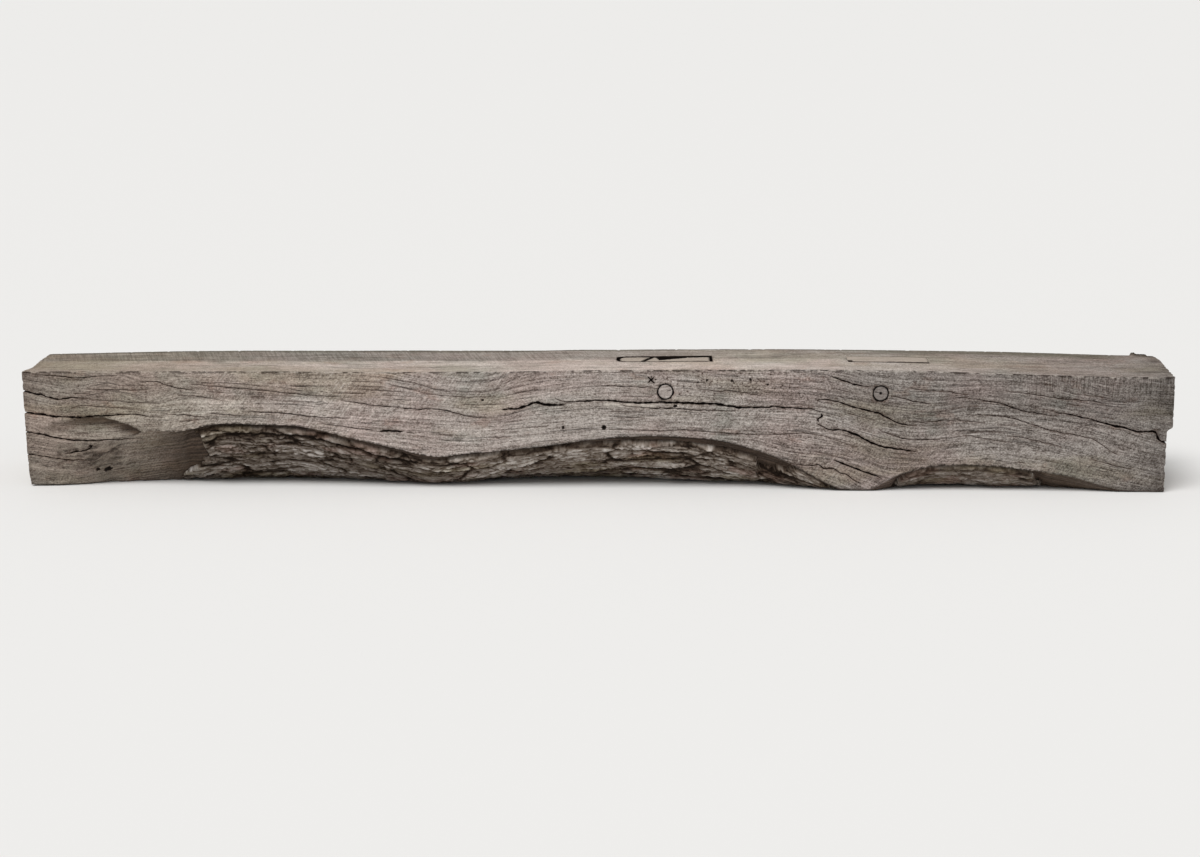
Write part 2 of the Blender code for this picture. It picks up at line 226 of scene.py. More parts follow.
def columns_of(first, *others):
    """Rows of coordinates from columns; a bare number stands for a whole column of it."""
    return np.column_stack([first] + [other + np.zeros(len(first)) for other in others])


def top_edges(u):
    """Heights of the top's front and back edges at places along the beam."""
    drops = curve(TOP_DROP, (u - MIDDLE) / LENGTH + 0.5) * MM
    return HEIGHT - drops[:, 0], HEIGHT - drops[:, 1]


def wane_size(u):
    """Height of the wane on the face and its reach under the beam."""
    shares = curve(WANE, (u - MIDDLE) / LENGTH + 0.5)
    high = np.maximum(shares[:, 0] * FACE_REFERENCE, BARE_WANE)
    reach = np.maximum(shares[:, 1] * DEPTH, BARE_WANE)
    ragged = ripple(columns_of(u, 0, 0), (38, 1, 1), 3)
    return high, reach + WANE_FOOT_RAGGED * ragged * step(15 * MM, 45 * MM, reach)


def wane_lines(u):
    """Where the wane starts and ends in the flat layout."""
    front_top, _ = top_edges(u)
    high, reach = wane_size(u)
    return FACE_START + front_top - high, UNDER_START + reach


# Bark still covers these stretches, in metres along the beam, with soft ends
BARKED = ((-0.648, 0.372), (0.464, 0.698))
BARK_END = 6 * MM
LEDGE_DEPTH = 7.0 * MM      # the wood steps in under the face where bark has shrunk off


def barked(u):
    """1 where bark covers the wane, else 0, with soft ends."""
    return sum(step(low - BARK_END, low + BARK_END, u) * step(high + BARK_END, high - BARK_END, u)
               for low, high in BARKED)


def wane_point(u, t, out):
    """(y, z) on the wane at share t of the way down, out metres outside its smooth curve."""
    high, reach = wane_size(u)
    chord = np.hypot(high, reach)
    out = out + WANE_BULGE * chord * t * (1 - t)
    y = FRONT + reach * t - out * high / chord
    z = high * (1 - t) - out * reach / chord
    return np.maximum(y, FRONT + 0.3 * MM * (t > 0)), np.maximum(z, 0.0)


def wood_sink(u, t):
    """How far the wood of the wane lies inside its smooth curve, bare or under bark."""
    high, reach = wane_size(u)
    chord = np.hypot(high, reach)
    full = np.minimum(BARK_THICKNESS, 0.3 * chord) * np.minimum(1, chord / 0.08)
    bare = full * np.sin(np.pi * np.clip(t, 0, 1)) ** 0.7
    s = t * chord
    ledge = LEDGE_DEPTH * step(0.3 * MM, 2.2 * MM, s) + 3 * MM * step(3 * MM, 26 * MM, s)
    ledge = np.minimum(ledge, 0.35 * chord) * step(1.0, 0.93, t)
    covered = barked(u)
    return bare * (1 - covered) + ledge * covered


# Courses that the grain takes on the face, from below the beam to above it: a level in mm,
# and the height in mm that it has at places along the beam
GRAIN = (
    (20, ((-900, 10), (-800, 0), (-600, 15), (-438, 30), (-300, 5), (0, 20), (130, 30),
          (330, 0), (470, -50), (900, -70))),
    (60, ((-900, 51), (-808, 41), (-728, 50), (-600, 60), (-438, 70), (-300, 50), (-200, 45),
          (0, 65), (130, 72), (256, 52), (377, 29), (415, 11), (470, -5), (700, -10), (900, -30))),
    (95, ((-900, 86), (-850, 79), (-780, 76), (-700, 84), (-600, 108), (-500, 108), (-438, 104),
          (-347, 93), (-215, 80), (-100, 88), (10, 97), (134, 96), (271, 91), (337, 86),
          (406, 66), (453, 50), (550, 50), (650, 46), (800, 20), (900, 5))),
    (117, ((-900, 119), (-820, 112), (-731, 117), (-678, 113), (-490, 119), (-392, 111),
           (-205, 104), (-60, 112), (36, 120), (271, 112), (341, 107), (382, 97), (442, 78),
           (500, 70), (580, 78), (650, 80), (725, 66), (816, 42), (900, 26))),
    (145, ((-900, 154), (-843, 141), (-703, 150), (-538, 146), (-407, 141), (-319, 131),
           (-246, 127), (-157, 119), (-99, 135), (-49, 141), (96, 142), (217, 133), (331, 130),
           (436, 106), (497, 100), (603, 105), (659, 100), (758, 80), (816, 60), (900, 46))),
    (165, ((-900, 172), (-802, 159), (-639, 161), (-538, 157), (-407, 148), (-293, 145),
           (-205, 138), (-157, 140), (-99, 150), (10, 161), (189, 154), (334, 146), (392, 136),
           (450, 122), (510, 118), (600, 125), (710, 120), (793, 108), (900, 85))),
    (185, ((-900, 188), (-724, 176), (-589, 172), (-474, 166), (-341, 161), (-245, 152),
           (-182, 150), (-119, 162), (10, 175), (167, 172), (334, 162), (450, 142), (519, 136),
           (600, 144), (719, 127), (793, 120), (900, 100))),
    (205, ((-900, 206), (-589, 190), (-474, 186), (-341, 184), (-293, 174), (-245, 163),
           (-182, 160), (-150, 167), (-119, 182), (-60, 190), (102, 190), (254, 185), (363, 180),
           (428, 163), (500, 158), (632, 161), (774, 145), (900, 130))),
    (240, ((-900, 240), (-589, 228), (-341, 215), (-245, 195), (-182, 190), (-119, 210),
           (100, 225), (363, 215), (545, 200), (774, 182), (900, 166))),
)


def grain_courses(x):
    """Heights of all the courses at places along the beam, lowest first."""
    return np.stack([curve(course, x / MM)[:, 0] for _, course in GRAIN]) * MM


def grain_level(x, z):
    """Which course of the grain runs through places on the face, in metres."""
    heights = grain_courses(x)
    levels = np.array([level for level, _ in GRAIN]) * MM
    k = np.clip((heights < z).sum(0) - 1, 0, len(levels) - 2)
    each = np.arange(len(x))
    low, high = heights[k, each], heights[k + 1, each]
    return levels[k] + (z - low) / (high - low) * (levels[k + 1] - levels[k])


def grain_height(x, level):
    """Height at places along the beam of one level of the grain."""
    heights = grain_courses(x)
    levels = np.array([each for each, _ in GRAIN]) * MM
    return np.array([np.interp(level, levels, column) for column in heights.T])


# Shakes on the face: width and depth in mm, then the course as (along, height) in mm
SHAKES = (
    (2.8, 6, ((74, 182), (80, 176), (87, 170))),
    (2.4, 6, ((75, 170.5), (79, 175), (86, 182))),
    (1.9, 5, ((81, 184), (80.5, 180), (81, 177.5))),
    (2.7, 12, ((-910, 156), (-873, 148), (-843, 141), (-822, 144), (-798, 143))),
    (2.6, 18, ((-910, 121), (-855, 114), (-820, 112), (-771, 115), (-731, 117), (-703, 113),
               (-682, 113))),
    (1.3, 6, ((-679, 118), (-659, 117), (-639, 116), (-615, 113))),
    (1.1, 4, ((-612, 120), (-557, 116))),
    (1.7, 9, ((-560, 123), (-490, 120), (-437, 114), (-392, 113))),
    (1.1, 4, ((-802, 157), (-770, 157), (-722, 156), (-703, 157))),
    (1.5, 7, ((-724, 169), (-690, 169), (-665, 161), (-630, 156))),
    (0.9, 3, ((-828, 125), (-810, 131), (-777, 129), (-715, 126))),
    (1.6, 6, ((-885, 180), (-847, 178), (-808, 175), (-781, 178), (-750, 179))),
    (0.8, 3, ((-797, 140), (-758, 139), (-725, 136), (-682, 135))),
    (2.3, 8, ((-910, 91), (-871, 83), (-850, 79), (-807, 75), (-770, 74), (-708, 73))),
    (1.8, 6, ((-910, 53), (-887, 51), (-856, 46), (-828, 41), (-808, 41))),
    (2.2, 7, ((-840, 53), (-820, 55), (-804, 58), (-795, 62))),
    (1.2, 4, ((-639, 166), (-589, 162), (-538, 158), (-474, 151), (-410, 147))),
    (0.9, 3, ((-663, 149), (-624, 146), (-587, 140))),
    (1.8, 15, ((-405, 141), (-364, 135), (-319, 131), (-297, 128), (-246, 127), (-205, 117),
               (-157, 114))),
    (1.5, 7, ((-438, 105), (-405, 100), (-347, 94))),
    (3.2, 9, ((-345, 92), (-325, 93), (-306, 92))),
    (1.2, 6, ((-303, 91), (-288, 89))),
    (4.2, 15, ((-153, 128), (-130, 129), (-113, 134), (-99, 139), (-87, 136), (-68, 135),
               (-52, 137))),
    (3.2, 20, ((-71, 147), (-60, 142), (-49, 141), (8, 143), (47, 140), (96, 140.3), (149, 139),
               (183, 138), (217, 133), (270, 134), (331, 131), (341, 128))),
    (1.8, 8, ((30, 138), (43, 134), (72, 132), (113, 131), (149, 129), (214, 127))),
    (1.3, 5, ((10, 167), (58, 165), (86, 164))),
    (0.8, 3, ((118, 174), (167, 171))),
    (1.2, 5, ((151, 163), (189, 158), (198, 160), (217, 158), (254, 152))),
    (2.4, 8, ((345, 125), (348, 120), (341, 115), (343, 109))),
    (3.0, 18, ((338, 108), (360, 99), (382, 97), (405, 88), (427, 77), (442, 71), (462, 68),
               (500, 63))),
    (1.1, 5, ((14, 97), (41, 96), (102, 95), (134, 97), (191, 92), (271, 90), (312, 92),
              (337, 91), (365, 83), (404, 69))),
    (1.9, 9, ((295, 44), (324, 41), (344, 41), (353, 36), (366, 36), (377, 29), (388, 26),
              (402, 16), (413, 11))),
    (3.0, 16, ((366, 50), (388, 41), (415, 31), (432, 25), (444, 20))),
    (2.2, 8, ((361, 187), (362, 183), (394, 172), (424, 165))),
    (1.5, 7, ((452, 153), (472, 149), (501, 142), (519, 140))),
    (1.0, 4, ((470, 167), (508, 162), (545, 160), (556, 157), (575, 155))),
    (1.8, 9, ((567, 151), (599, 146), (622, 142), (661, 130), (704, 123), (716, 122))),
    (3.0, 18, ((705, 129), (757, 119), (793, 109), (818, 104), (845, 97), (862, 97.5), (880, 96),
               (888, 84), (910, 78))),
    (1.3, 5, ((632, 161), (684, 155), (721, 149), (774, 145), (792, 139))),
    (2.4, 14, ((334, 146), (362, 145), (392, 136), (436, 124), (470, 108), (497, 105))),
    (1.4, 6, ((481, 112), (517, 111), (548, 115), (603, 110))),
    (1.7, 7, ((435, 99), (474, 85), (499, 83), (535, 83))),
    (1.0, 4, ((568, 91), (618, 82), (646, 79))),
    (1.3, 6, ((574, 123), (624, 121), (659, 114), (705, 99), (758, 89), (774, 84), (805, 63),
              (816, 58))),
    (0.9, 4, ((635, 89), (660, 87), (710, 76), (725, 71))),
    (0.9, 4, ((678, 67), (700, 64))),
    (0.8, 3, ((-340, 178), (-293, 170), (-245, 158), (-182, 156), (-154, 161))),
    (0.7, 3, ((-330, 168), (-262, 152), (-205, 147), (-160, 149))),
)

# Nail holes and small punctures on the face: (along, height, radius, depth) in mm
PUNCTURES = (
    (118, 134, 2.6, 9), (7, 100, 2.8, 9), (-773, 22, 5.6, 11), (-788, 22, 2.6, 7),
    (-797, 63, 3.0, 7), (-182, 143, 1.2, 4), (-57, 100, 1.2, 3), (235, 178, 1.1, 4),
    (206, 176, 0.9, 3), (167, 176, 0.9, 3), (154, 173, 0.8, 3), (262, 170, 0.8, 2),
)

# Soot on the lip of a crack, of a worm hole and of a nail hole. The material shows it as a faint stain
# up to the first, and darker and darker above it, where soot and painted shade fill the crack or hole,
# darker the deeper it is.
LIP_SOOT = 0.30
WORM_SOOT = 0.38
HOLE_SOOT = 0.75
THINNEST_CRACK = 0.16 * MM


def search_tree(places):
    """Search tree over the first two coordinates of places."""
    made = kdtree.KDTree(len(places))
    for i, place in enumerate(places):
        made.insert((place[0], place[1], 0), i)
    made.balance()
    return made


def inside(layout, places):
    """Which places lie inside a closed outline."""
    x, v = places[:, 0][:, None], places[:, 1][:, None]
    ax, av = layout[:, 0][None], layout[:, 1][None]
    bx, bv = np.roll(layout[:, 0], -1)[None], np.roll(layout[:, 1], -1)[None]
    crosses = ((av > v) != (bv > v)) & (x < (bx - ax) * (v - av) / (bv - av + 1e-12) + ax)
    return crosses.sum(1) % 2 == 1


class Skin:
    """Flat layout of a surface: its points, the lines that must stay edges, and its cracks."""

    def __init__(self):
        self.points = []
        self.edges = []
        self.floor = []

    def line(self, points, closed=False):
        """Adds points joined one to the next."""
        start = len(self.points)
        self.points += [tuple(p) for p in points]
        self.edges += [(i, i + 1) for i in range(start, len(self.points) - 1)]
        if closed:
            self.edges.append((len(self.points) - 1, start))

    def crack(self, path, width, depth, open_start=False, open_end=False):
        """Adds one crack along a path: two lips and the line of its floor between them."""
        path = np.asarray(path)
        count = len(path)
        ahead = np.gradient(path, axis=0)
        side = np.column_stack([-ahead[:, 1], ahead[:, 0]])
        side /= np.linalg.norm(side, axis=1)[:, None]
        along = np.linspace(0, 1, count)
        full = np.sin(np.pi * along) ** 0.45
        if open_start:
            full = np.sin(np.pi * (0.5 + along / 2)) ** 0.45
        if open_end:
            full = np.sin(np.pi * along / 2) ** 0.45
        rough = ripple(columns_of(path, 0), (170, 170, 1))
        half = np.maximum(width / 2 * full * (1 + 0.8 * rough), THINNEST_CRACK)
        keep = slice(0 if open_start else 1, count if open_end else count - 1)
        upper = path + side * half[:, None]
        lower = path - side * half[:, None]
        if open_start:
            upper[0, 0] = lower[0, 0] = path[0, 0]
        if open_end:
            upper[-1, 0] = lower[-1, 0] = path[-1, 0]
        tips = [path[:0] if open_start else path[:1], path[:0] if open_end else path[-1:]]
        self.line(np.concatenate([tips[0], upper[keep], tips[1]]))
        self.line(lower[keep])
        self.line(path[keep])
        for i in range(0 if open_start else 1, count - 1):
            for share in (0.0, 0.5):
                place = path[i] * (1 - share) + path[i + 1] * share
                reach = half[i] * (1 - share) + half[i + 1] * share
                deep = depth * (0.25 + 0.75 * full[i])
                self.floor.append((place[0], place[1], reach, deep, LIP_SOOT))

    def hole(self, x, v, radius, depth, sides=7, lip=HOLE_SOOT):
        """Adds a small round pit."""
        ring = [(x + radius * math.cos(2 * math.pi * i / sides + x * 90),
                 v + radius * math.sin(2 * math.pi * i / sides + x * 90)) for i in range(sides)]
        self.line(ring, closed=True)
        self.points.append((x, v))
        self.floor.append((x, v, radius, depth, lip))

    def clear_of_cracks(self, candidates, margin):
        """The candidate points that keep a margin to every crack."""
        cracks = search_tree(self.floor)
        widest = max(spot[2] for spot in self.floor)
        kept = []
        for x, v in candidates:
            near = cracks.find_range((x, v, 0), widest + margin)
            if all(distance > self.floor[i][2] + margin for _, i, distance in near):
                kept.append((x, v))
        return kept

    def depth_at(self, points):
        """How deep the cracks are under flat points, and how much soot and painted shade they hold."""
        cracks = search_tree(self.floor)
        result = np.zeros((len(points), 2))
        for k, (x, v) in enumerate(points):
            _, i, distance = cracks.find((x, v, 0))
            _, _, reach, depth, lip = self.floor[i]
            if distance < reach * 0.9:
                result[k, 0] = depth * (1 - distance / reach)
                # soot and painted shade: the deeper the crack, the darker its floor
                result[k, 1] = 0.44 + 0.56 * min(1.0, depth / (2.5 * MM))
            elif distance < reach + 0.25 * MM:
                result[k, 1] = lip
        return result.T

    def triangles(self):
        """Triangulates the layout: flat points and faces."""
        flat, _, faces, _, _, _ = delaunay_2d_cdt(
            [Vector(p) for p in self.points], self.edges, [], 0, 1e-6, False)
        return np.array([tuple(p) for p in flat]), np.array(faces)

    def triangles_in(self, outline):
        """Triangulates the layout and keeps the faces inside an outline."""
        flat, faces = self.triangles()
        return flat, faces[inside(outline, flat[faces].mean(1))]


def along_course(course, spacing):
    """Points every so far along a smooth curve through given points, in metres."""
    rows = np.array(course, float) * MM
    run = np.concatenate([[0], np.cumsum(np.linalg.norm(np.diff(rows, axis=0), axis=1))])
    at = np.linspace(0, run[-1], max(3, int(run[-1] / spacing) + 1))
    return curve(np.column_stack([run, rows]), at)


def face_v(x, z):
    """Place round the skin of a height on the face, or on the wane below it."""
    front_top = top_edges(x)[0]
    high, reach = wane_size(x)
    on_face = FACE_START + front_top - z
    on_wane = FACE_START + front_top - high + (1 - z / high) * (high + reach)
    return np.where(z < high, on_wane, on_face)


skin = Skin()
left_u, right_u = cad_low.x, cad_high.x
CRACK_STEP = 2.3 * MM
WIDE_CRACK_MM = 2
draw = np.random.default_rng(7821)

for width, depth, course in SHAKES:
    path = along_course(course, CRACK_STEP)
    wobble = ripple(columns_of(path, width), (75, 75, 50), 3)
    jumps = np.repeat(draw.uniform(-0.5, 0.5, len(path) // 4 + 1), 4)[:len(path)]
    path[:, 1] += (0.8 * wobble + jumps * min(1.0, width / 2)) * MM
    path[:, 1] = face_v(path[:, 0], path[:, 1])
    starts_outside = path[0, 0] < left_u
    ends_outside = path[-1, 0] > right_u
    path = path[(path[:, 0] > left_u + MM) & (path[:, 0] < right_u - MM)]
    if starts_outside:
        path = np.vstack([[left_u, path[0, 1]], path])
    if ends_outside:
        path = np.vstack([path, [right_u, path[-1, 1]]])
    drawn_width = (1.2 if width > WIDE_CRACK_MM else 0.95) * width * MM
    skin.crack(path, drawn_width, depth * MM, starts_outside, ends_outside)

for x, z, radius, depth in PUNCTURES:
    skin.hole(x * MM, face_v(np.array([x * MM]), z * MM)[0], radius * MM, depth * MM)

# Worm holes, in a loose cluster under the arris and a few elsewhere
WORM_HOLES = 130
WORM_STRAY = 6              # one hole of so many is away from the cluster
WORM_CLUSTER = (0.20, 0.170)
WORM_SPREAD = (0.060, 0.007)
FIRST_PEG = (0.1026, 0.157)
for number in range(WORM_HOLES):
    in_cluster = number % WORM_STRAY
    x = draw.normal(WORM_CLUSTER[0], WORM_SPREAD[0]) if in_cluster else draw.uniform(-0.85, 0.85)
    z = draw.normal(WORM_CLUSTER[1], WORM_SPREAD[1]) if in_cluster else draw.uniform(0.115, 0.178)
    v = face_v(np.array([x]), z)[0]
    near = min(math.hypot(x - f[0], v - f[1]) for f in skin.floor)
    off_peg = math.hypot(x - FIRST_PEG[0], z - FIRST_PEG[1]) > 18 * MM
    if near > 3.4 * MM and v > FACE_START + 5 * MM and abs(x) < 0.88 and off_peg:
        skin.hole(x, v, draw.uniform(0.6, 1.15) * MM, draw.uniform(0.8, 1.6) * MM, 5, WORM_SOOT)

# Hairline checks that follow the grain, strewn over the face
HAIRLINES = 95
HAIRLINE_TOP = 0.178
taken = np.array([(f[0], f[1]) for f in skin.floor])
for _ in range(HAIRLINES):
    start = draw.uniform(left_u + 0.02, right_u - 0.1)
    run = draw.uniform(0.014, 0.070)
    x = np.arange(start, start + run, CRACK_STEP)
    level = grain_level(x[:1], np.array([draw.uniform(0.03, 0.176)]))[0]
    z = grain_height(x, level) + 0.5 * MM * ripple(columns_of(x, x, 0), (80, 80, 1))
    path = np.column_stack([x, face_v(x, z)])
    floor_v = wane_lines(x)[0] - 5 * MM
    apart = np.hypot(*(taken[:, None] - path[None]).transpose(2, 0, 1)).min()
    off_face = (path[:, 1] > floor_v).any() or (z > HAIRLINE_TOP).any()
    if len(x) < 5 or apart < 4 * MM or off_face:
        continue
    skin.crack(path, draw.uniform(0.45, 0.9) * MM, draw.uniform(1.0, 2.2) * MM)
    taken = np.vstack([taken, path])

# Checks in the top, straight along the beam: width and depth in mm, (along, back from face)
TOP_CHECKS = (
    (0.6, 4, ((-700, 52), (-600, 54), (-505, 53))), (0.6, 4, ((-430, 120), (-300, 123), (-220, 122))),
    (0.5, 4, ((-330, 35), (-200, 38), (-95, 36))), (0.7, 5, ((560, 60), (640, 62), (745, 59))),
    (0.6, 4, ((300, 140), (430, 143), (560, 141))), (0.6, 3, ((-860, 100), (-800, 101), (-745, 99))),
    (0.9, 5, ((812, 40), (850, 43), (880, 42))),
)
for width, depth, course in TOP_CHECKS:
    path = along_course(course, CRACK_STEP)
    path[:, 1] += 0.8 * MM * ripple(columns_of(path, 0), (60, 60, 1))
    path[:, 1] = FACE_START - path[:, 1]
    skin.crack(path, width * MM, depth * MM)

# Mortises and peg holes leave openings in the skin
tenon_1_low, tenon_1_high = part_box("tenon_1_left")[0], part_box("tenon_1_right")[1]
tenon_2_low, tenon_2_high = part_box("tenon_2")
MORTISE_FIT = 0.6 * MM
MORTISE_BACK = tenon_2_high.y + MORTISE_FIT
MORTISE_FRONT = tenon_1_low.y - MORTISE_FIT
MORTISES = (
    (tenon_1_low.x - MORTISE_FIT, tenon_1_high.x + MORTISE_FIT, 18 * MM),
    (tenon_2_low.x - MORTISE_FIT, tenon_2_high.x + MORTISE_FIT, 1.5 * MM),
)


def filled(corners, spacing=3 * MM):
    """The closed outline through corners, with points added along its straight sides."""
    outline = []
    for a, b in zip(corners, corners[1:] + corners[:1]):
        pieces = max(1, round(math.dist(a, b) / spacing))
        outline += [(a[0] + (b[0] - a[0]) * i / pieces, a[1] + (b[1] - a[1]) * i / pieces)
                    for i in range(pieces)]
    return np.array(outline)


def rounded_plan(x0, x1, y0, y1, left_corner, right_corner, spacing):
    """Outline of a mortise or tenon seen from above, with round corners."""
    corners = ((x0, y0, 1, 1, 180, left_corner), (x1, y0, -1, 1, 270, right_corner),
               (x1, y1, -1, -1, 0, right_corner), (x0, y1, 1, -1, 90, left_corner))
    turned = []
    for x, y, to_x, to_y, begin, radius in corners:
        turns = 6 if radius > 3 * MM else 2
        for i in range(turns + 1):
            angle = math.radians(begin + 90 * i / turns)
            turned.append((x + to_x * radius + radius * math.cos(angle),
                           y + to_y * radius + radius * math.sin(angle)))
    return filled(turned, spacing)


def ragged(plan, amount, scale, seed):
    """An outline with its points pushed about, as an old cut edge is."""
    place = columns_of(plan, seed)
    return plan + amount * np.column_stack([ripple(place, (scale, scale, 1)),
                                            ripple(place + 3.7, (scale, scale, 1))])


mouths = []
for number, (x0, x1, corner) in enumerate(MORTISES):
    plan = rounded_plan(x0, x1, MORTISE_FRONT, MORTISE_BACK, corner, 1.5 * MM, 4 * MM)
    plan = ragged(plan, (0.5 if number == 0 else 0.0) * MM, 120, number)
    layout = np.column_stack([plan[:, 0], TOP_START + BACK - plan[:, 1]])
    skin.line(layout, closed=True)
    mouths.append(layout)

PEG_HOLE_GAP = 1.15 * MM
PEG_HOLE_SIDES = 32
for node in ("peg_1", "peg_2"):
    low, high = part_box(node)
    x, z = (low.x + high.x) / 2, (low.z + high.z) / 2
    radius = (high.x - low.x) / 2 + PEG_HOLE_GAP
    ring = np.array([(x + radius * math.cos(a), z + radius * math.sin(a))
                     for a in np.linspace(0, 2 * math.pi, PEG_HOLE_SIDES + 1)[:-1]])
    ring = ragged(ring, 0.9 * MM, 120, x)
    layout = np.column_stack([ring[:, 0], face_v(ring[:, 0], ring[:, 1])])
    skin.line(layout, closed=True)
    mouths.append(layout)

# Edges of the beam, which stay edges of the skin
ARRIS_POINTS = 601
RIM_POINTS = 201
edge_u = np.linspace(left_u, right_u, ARRIS_POINTS)
for v in (TOP_START, FACE_START):
    skin.line(columns_of(edge_u, v))
wane_start, wane_end = wane_lines(edge_u)
skin.line(np.column_stack([edge_u, wane_start]))
skin.line(np.column_stack([edge_u, wane_end]))
rim_u = np.linspace(left_u, right_u, RIM_POINTS)
skin.line(columns_of(rim_u, 0))
skin.line(columns_of(rim_u, ROUND))
for u in (left_u, right_u):
    skin.line([(u, 0), (u, ROUND)])


def between(v_from, v_to, along_step, round_step, inset):
    """Jittered points of one face of the beam, column by column, inset from its two edges."""
    places = []
    columns = np.arange(left_u, right_u + along_step / 2, along_step)
    columns[-1] = right_u
    lows = v_from(columns) if callable(v_from) else columns * 0 + v_from
    highs = v_to(columns) if callable(v_to) else columns * 0 + v_to
    for u, low, high in zip(columns, lows + inset, highs - inset):
        rows = int((high - low) / round_step)
        if rows < 1:
            continue
        at_end = u in (left_u, right_u)
        v = np.linspace(low, high, rows + 1)
        shift_u = 0 if at_end else draw.uniform(-0.28, 0.28, len(v)) * along_step
        shift_v = draw.uniform(-0.28, 0.28, len(v)) * round_step
        places += list(zip(u + shift_u + v * 0, v + shift_v))
    return places


def wane_top(u):
    """Where the wane starts in the flat layout."""
    return wane_lines(u)[0]


def wane_foot(u):
    """Where the wane ends in the flat layout."""
    return wane_lines(u)[1]


# Points of the skin between those edges, close together where the photo sees it.
# Each face has a step along the beam, a step round it and a distance from its edges.
HIDDEN_STEPS = (11 * MM, 10 * MM, 5 * MM)
TOP_STEPS = (5.0 * MM, 4.4 * MM, 4 * MM)
FACE_STEPS = (3.0 * MM, 2.6 * MM, 2.6 * MM)
WANE_STEPS = (3.4 * MM, 3.4 * MM, 2 * MM)
candidates = between(0, TOP_START, *HIDDEN_STEPS)
candidates += between(TOP_START, FACE_START, *TOP_STEPS)
candidates += between(FACE_START, wane_top, *FACE_STEPS)
candidates += between(wane_foot, ROUND, *HIDDEN_STEPS)
# Rows along the arrises and down the wane, in mm from each
ARRIS_ROWS = ((TOP_START, -3), (TOP_START, 3), (FACE_START, -2.4), (FACE_START, -1.1),
              (FACE_START, 0.9), (FACE_START, 2.0))
for v, off in ARRIS_ROWS:
    u = np.arange(left_u + 2 * MM, right_u - 2 * MM, 2.6 * MM)
    candidates += list(zip(u, u * 0 + v + off * MM + draw.uniform(-0.2, 0.2, len(u)) * MM))
WANE_ROWS = (0.9, 1.9, 3.2, 5.0, 7.5, 10.5, 14.0, 18.0, 22.0)
u = np.arange(left_u + 2 * MM, right_u - 2 * MM, 3.2 * MM)
start, stop = wane_lines(u)
high, reach = wane_size(u)
for off in WANE_ROWS:
    v = start + off * MM * (high + reach) / np.hypot(high, reach)
    fits = (v < stop - 1.2 * MM) & (np.hypot(high, reach) > 8 * MM)
    candidates += list(zip(u[fits], v[fits]))
below = np.array(between(wane_top, wane_foot, *WANE_STEPS))
start, stop = wane_lines(below[:, 0])
high, reach = wane_size(below[:, 0])
run = (below[:, 1] - start) / (high + reach) * np.hypot(high, reach)
# wood that the long bark hides needs few points
long_low, long_high = BARKED[0]
well_inside = (below[:, 0] > long_low + 0.06) & (below[:, 0] < long_high - 0.16)
under_bark = (barked(below[:, 0]) > 0.9) & well_inside
thin_out = draw.uniform(0, 1, len(below)) < 0.16
candidates += below[(run > 24 * MM) & (~under_bark | thin_out)].tolist()
candidates = skin.clear_of_cracks(candidates, 0.9 * MM)
for layout in mouths:
    low, high = layout.min(0) - MM, layout.max(0) + MM
    candidates = [p for p in candidates
                  if not (low[0] < p[0] < high[0] and low[1] < p[1] < high[1])]
skin.points += candidates
flat, faces = skin.triangles()
centres = flat[faces].mean(1)
for layout in mouths:
    low, high = layout.min(0), layout.max(0)
    near = ((centres > low) & (centres < high)).all(1)
    gone = np.zeros(len(faces), bool)
    gone[near] = inside(layout, centres[near])
    faces, centres = faces[~gone], centres[~gone]

# Ends: where each lies along the beam at a place (y, z) of the section
LEFT_JUT = 10 * MM          # the front of the left end stands out past the rest
LEFT_JUT_WIDTH = 37 * MM
LEFT_UNDERCUT = 5 * MM
RIGHT_SKEW = 4 * MM
RIGHT_STEP = 9 * MM         # two saw cuts on the right end missed each other
RIGHT_STEP_HEIGHT = 101 * MM
RIGHT_BACK_LEAN = 6 * MM
END_REACH = 80 * MM


def end_offset(u, y, z):
    """How far the two sawn ends lie inside the beam's length."""
    across = (y - FRONT) / DEPTH
    left = (LEFT_JUT * step(0, LEFT_JUT_WIDTH, y - FRONT)
            + LEFT_UNDERCUT * (1 - z / HEIGHT))
    right = -RIGHT_SKEW * (1 - across)
    right -= RIGHT_STEP * step(1.5 * MM, -1.5 * MM, z - RIGHT_STEP_HEIGHT)
    right -= RIGHT_BACK_LEAN * step(BACK - 0.03, BACK, y)
    rough = ripple(columns_of(u, y, z), (30, 95, 110), 3) * np.where(u > 0, 2.8, 1.8) * MM
    pull_left = step(left_u + END_REACH, left_u, u)
    pull_right = step(right_u - END_REACH, right_u, u)
    return pull_left * (left + np.maximum(rough, 0)) + pull_right * (right - np.maximum(rough, 0))


def stretch(low, high, value):
    """1 between low and high with soft flanks of a tenth of the span."""
    soft = 0.1 * (high - low)
    return step(low, low + soft, value) * step(high, high - soft, value)


# Along the beam: how pale the face, the front of the top and the back of the top have weathered
FACE_TONE = ((-900, 0.86), (-760, 0.98), (-560, 1.12), (-300, 1.13), (-60, 1.03), (150, 0.95),
             (260, 0.92), (340, 0.84), (430, 0.74), (620, 0.74), (740, 0.68), (900, 0.58))
TOP_FRONT_TONE = ((-900, 0.95), (-700, 1.10), (-100, 1.33), (200, 1.30), (500, 1.08), (700, 0.80),
                  (900, 0.66))
TOP_BACK_TONE = ((-900, 0.72), (-300, 0.71), (-60, 0.82), (200, 0.93), (500, 0.84), (900, 0.64))
HIDDEN_TONE = 0.62

# The third number of the grain tells the material which side of the beam a point is on
FACE_SIDE, TOP_SIDE, BACK_SIDE, UNDER_SIDE, WALL_SIDE, END_SIDE = 0.0, 1.0, 4.0, 5.0, 6.0, 9.0

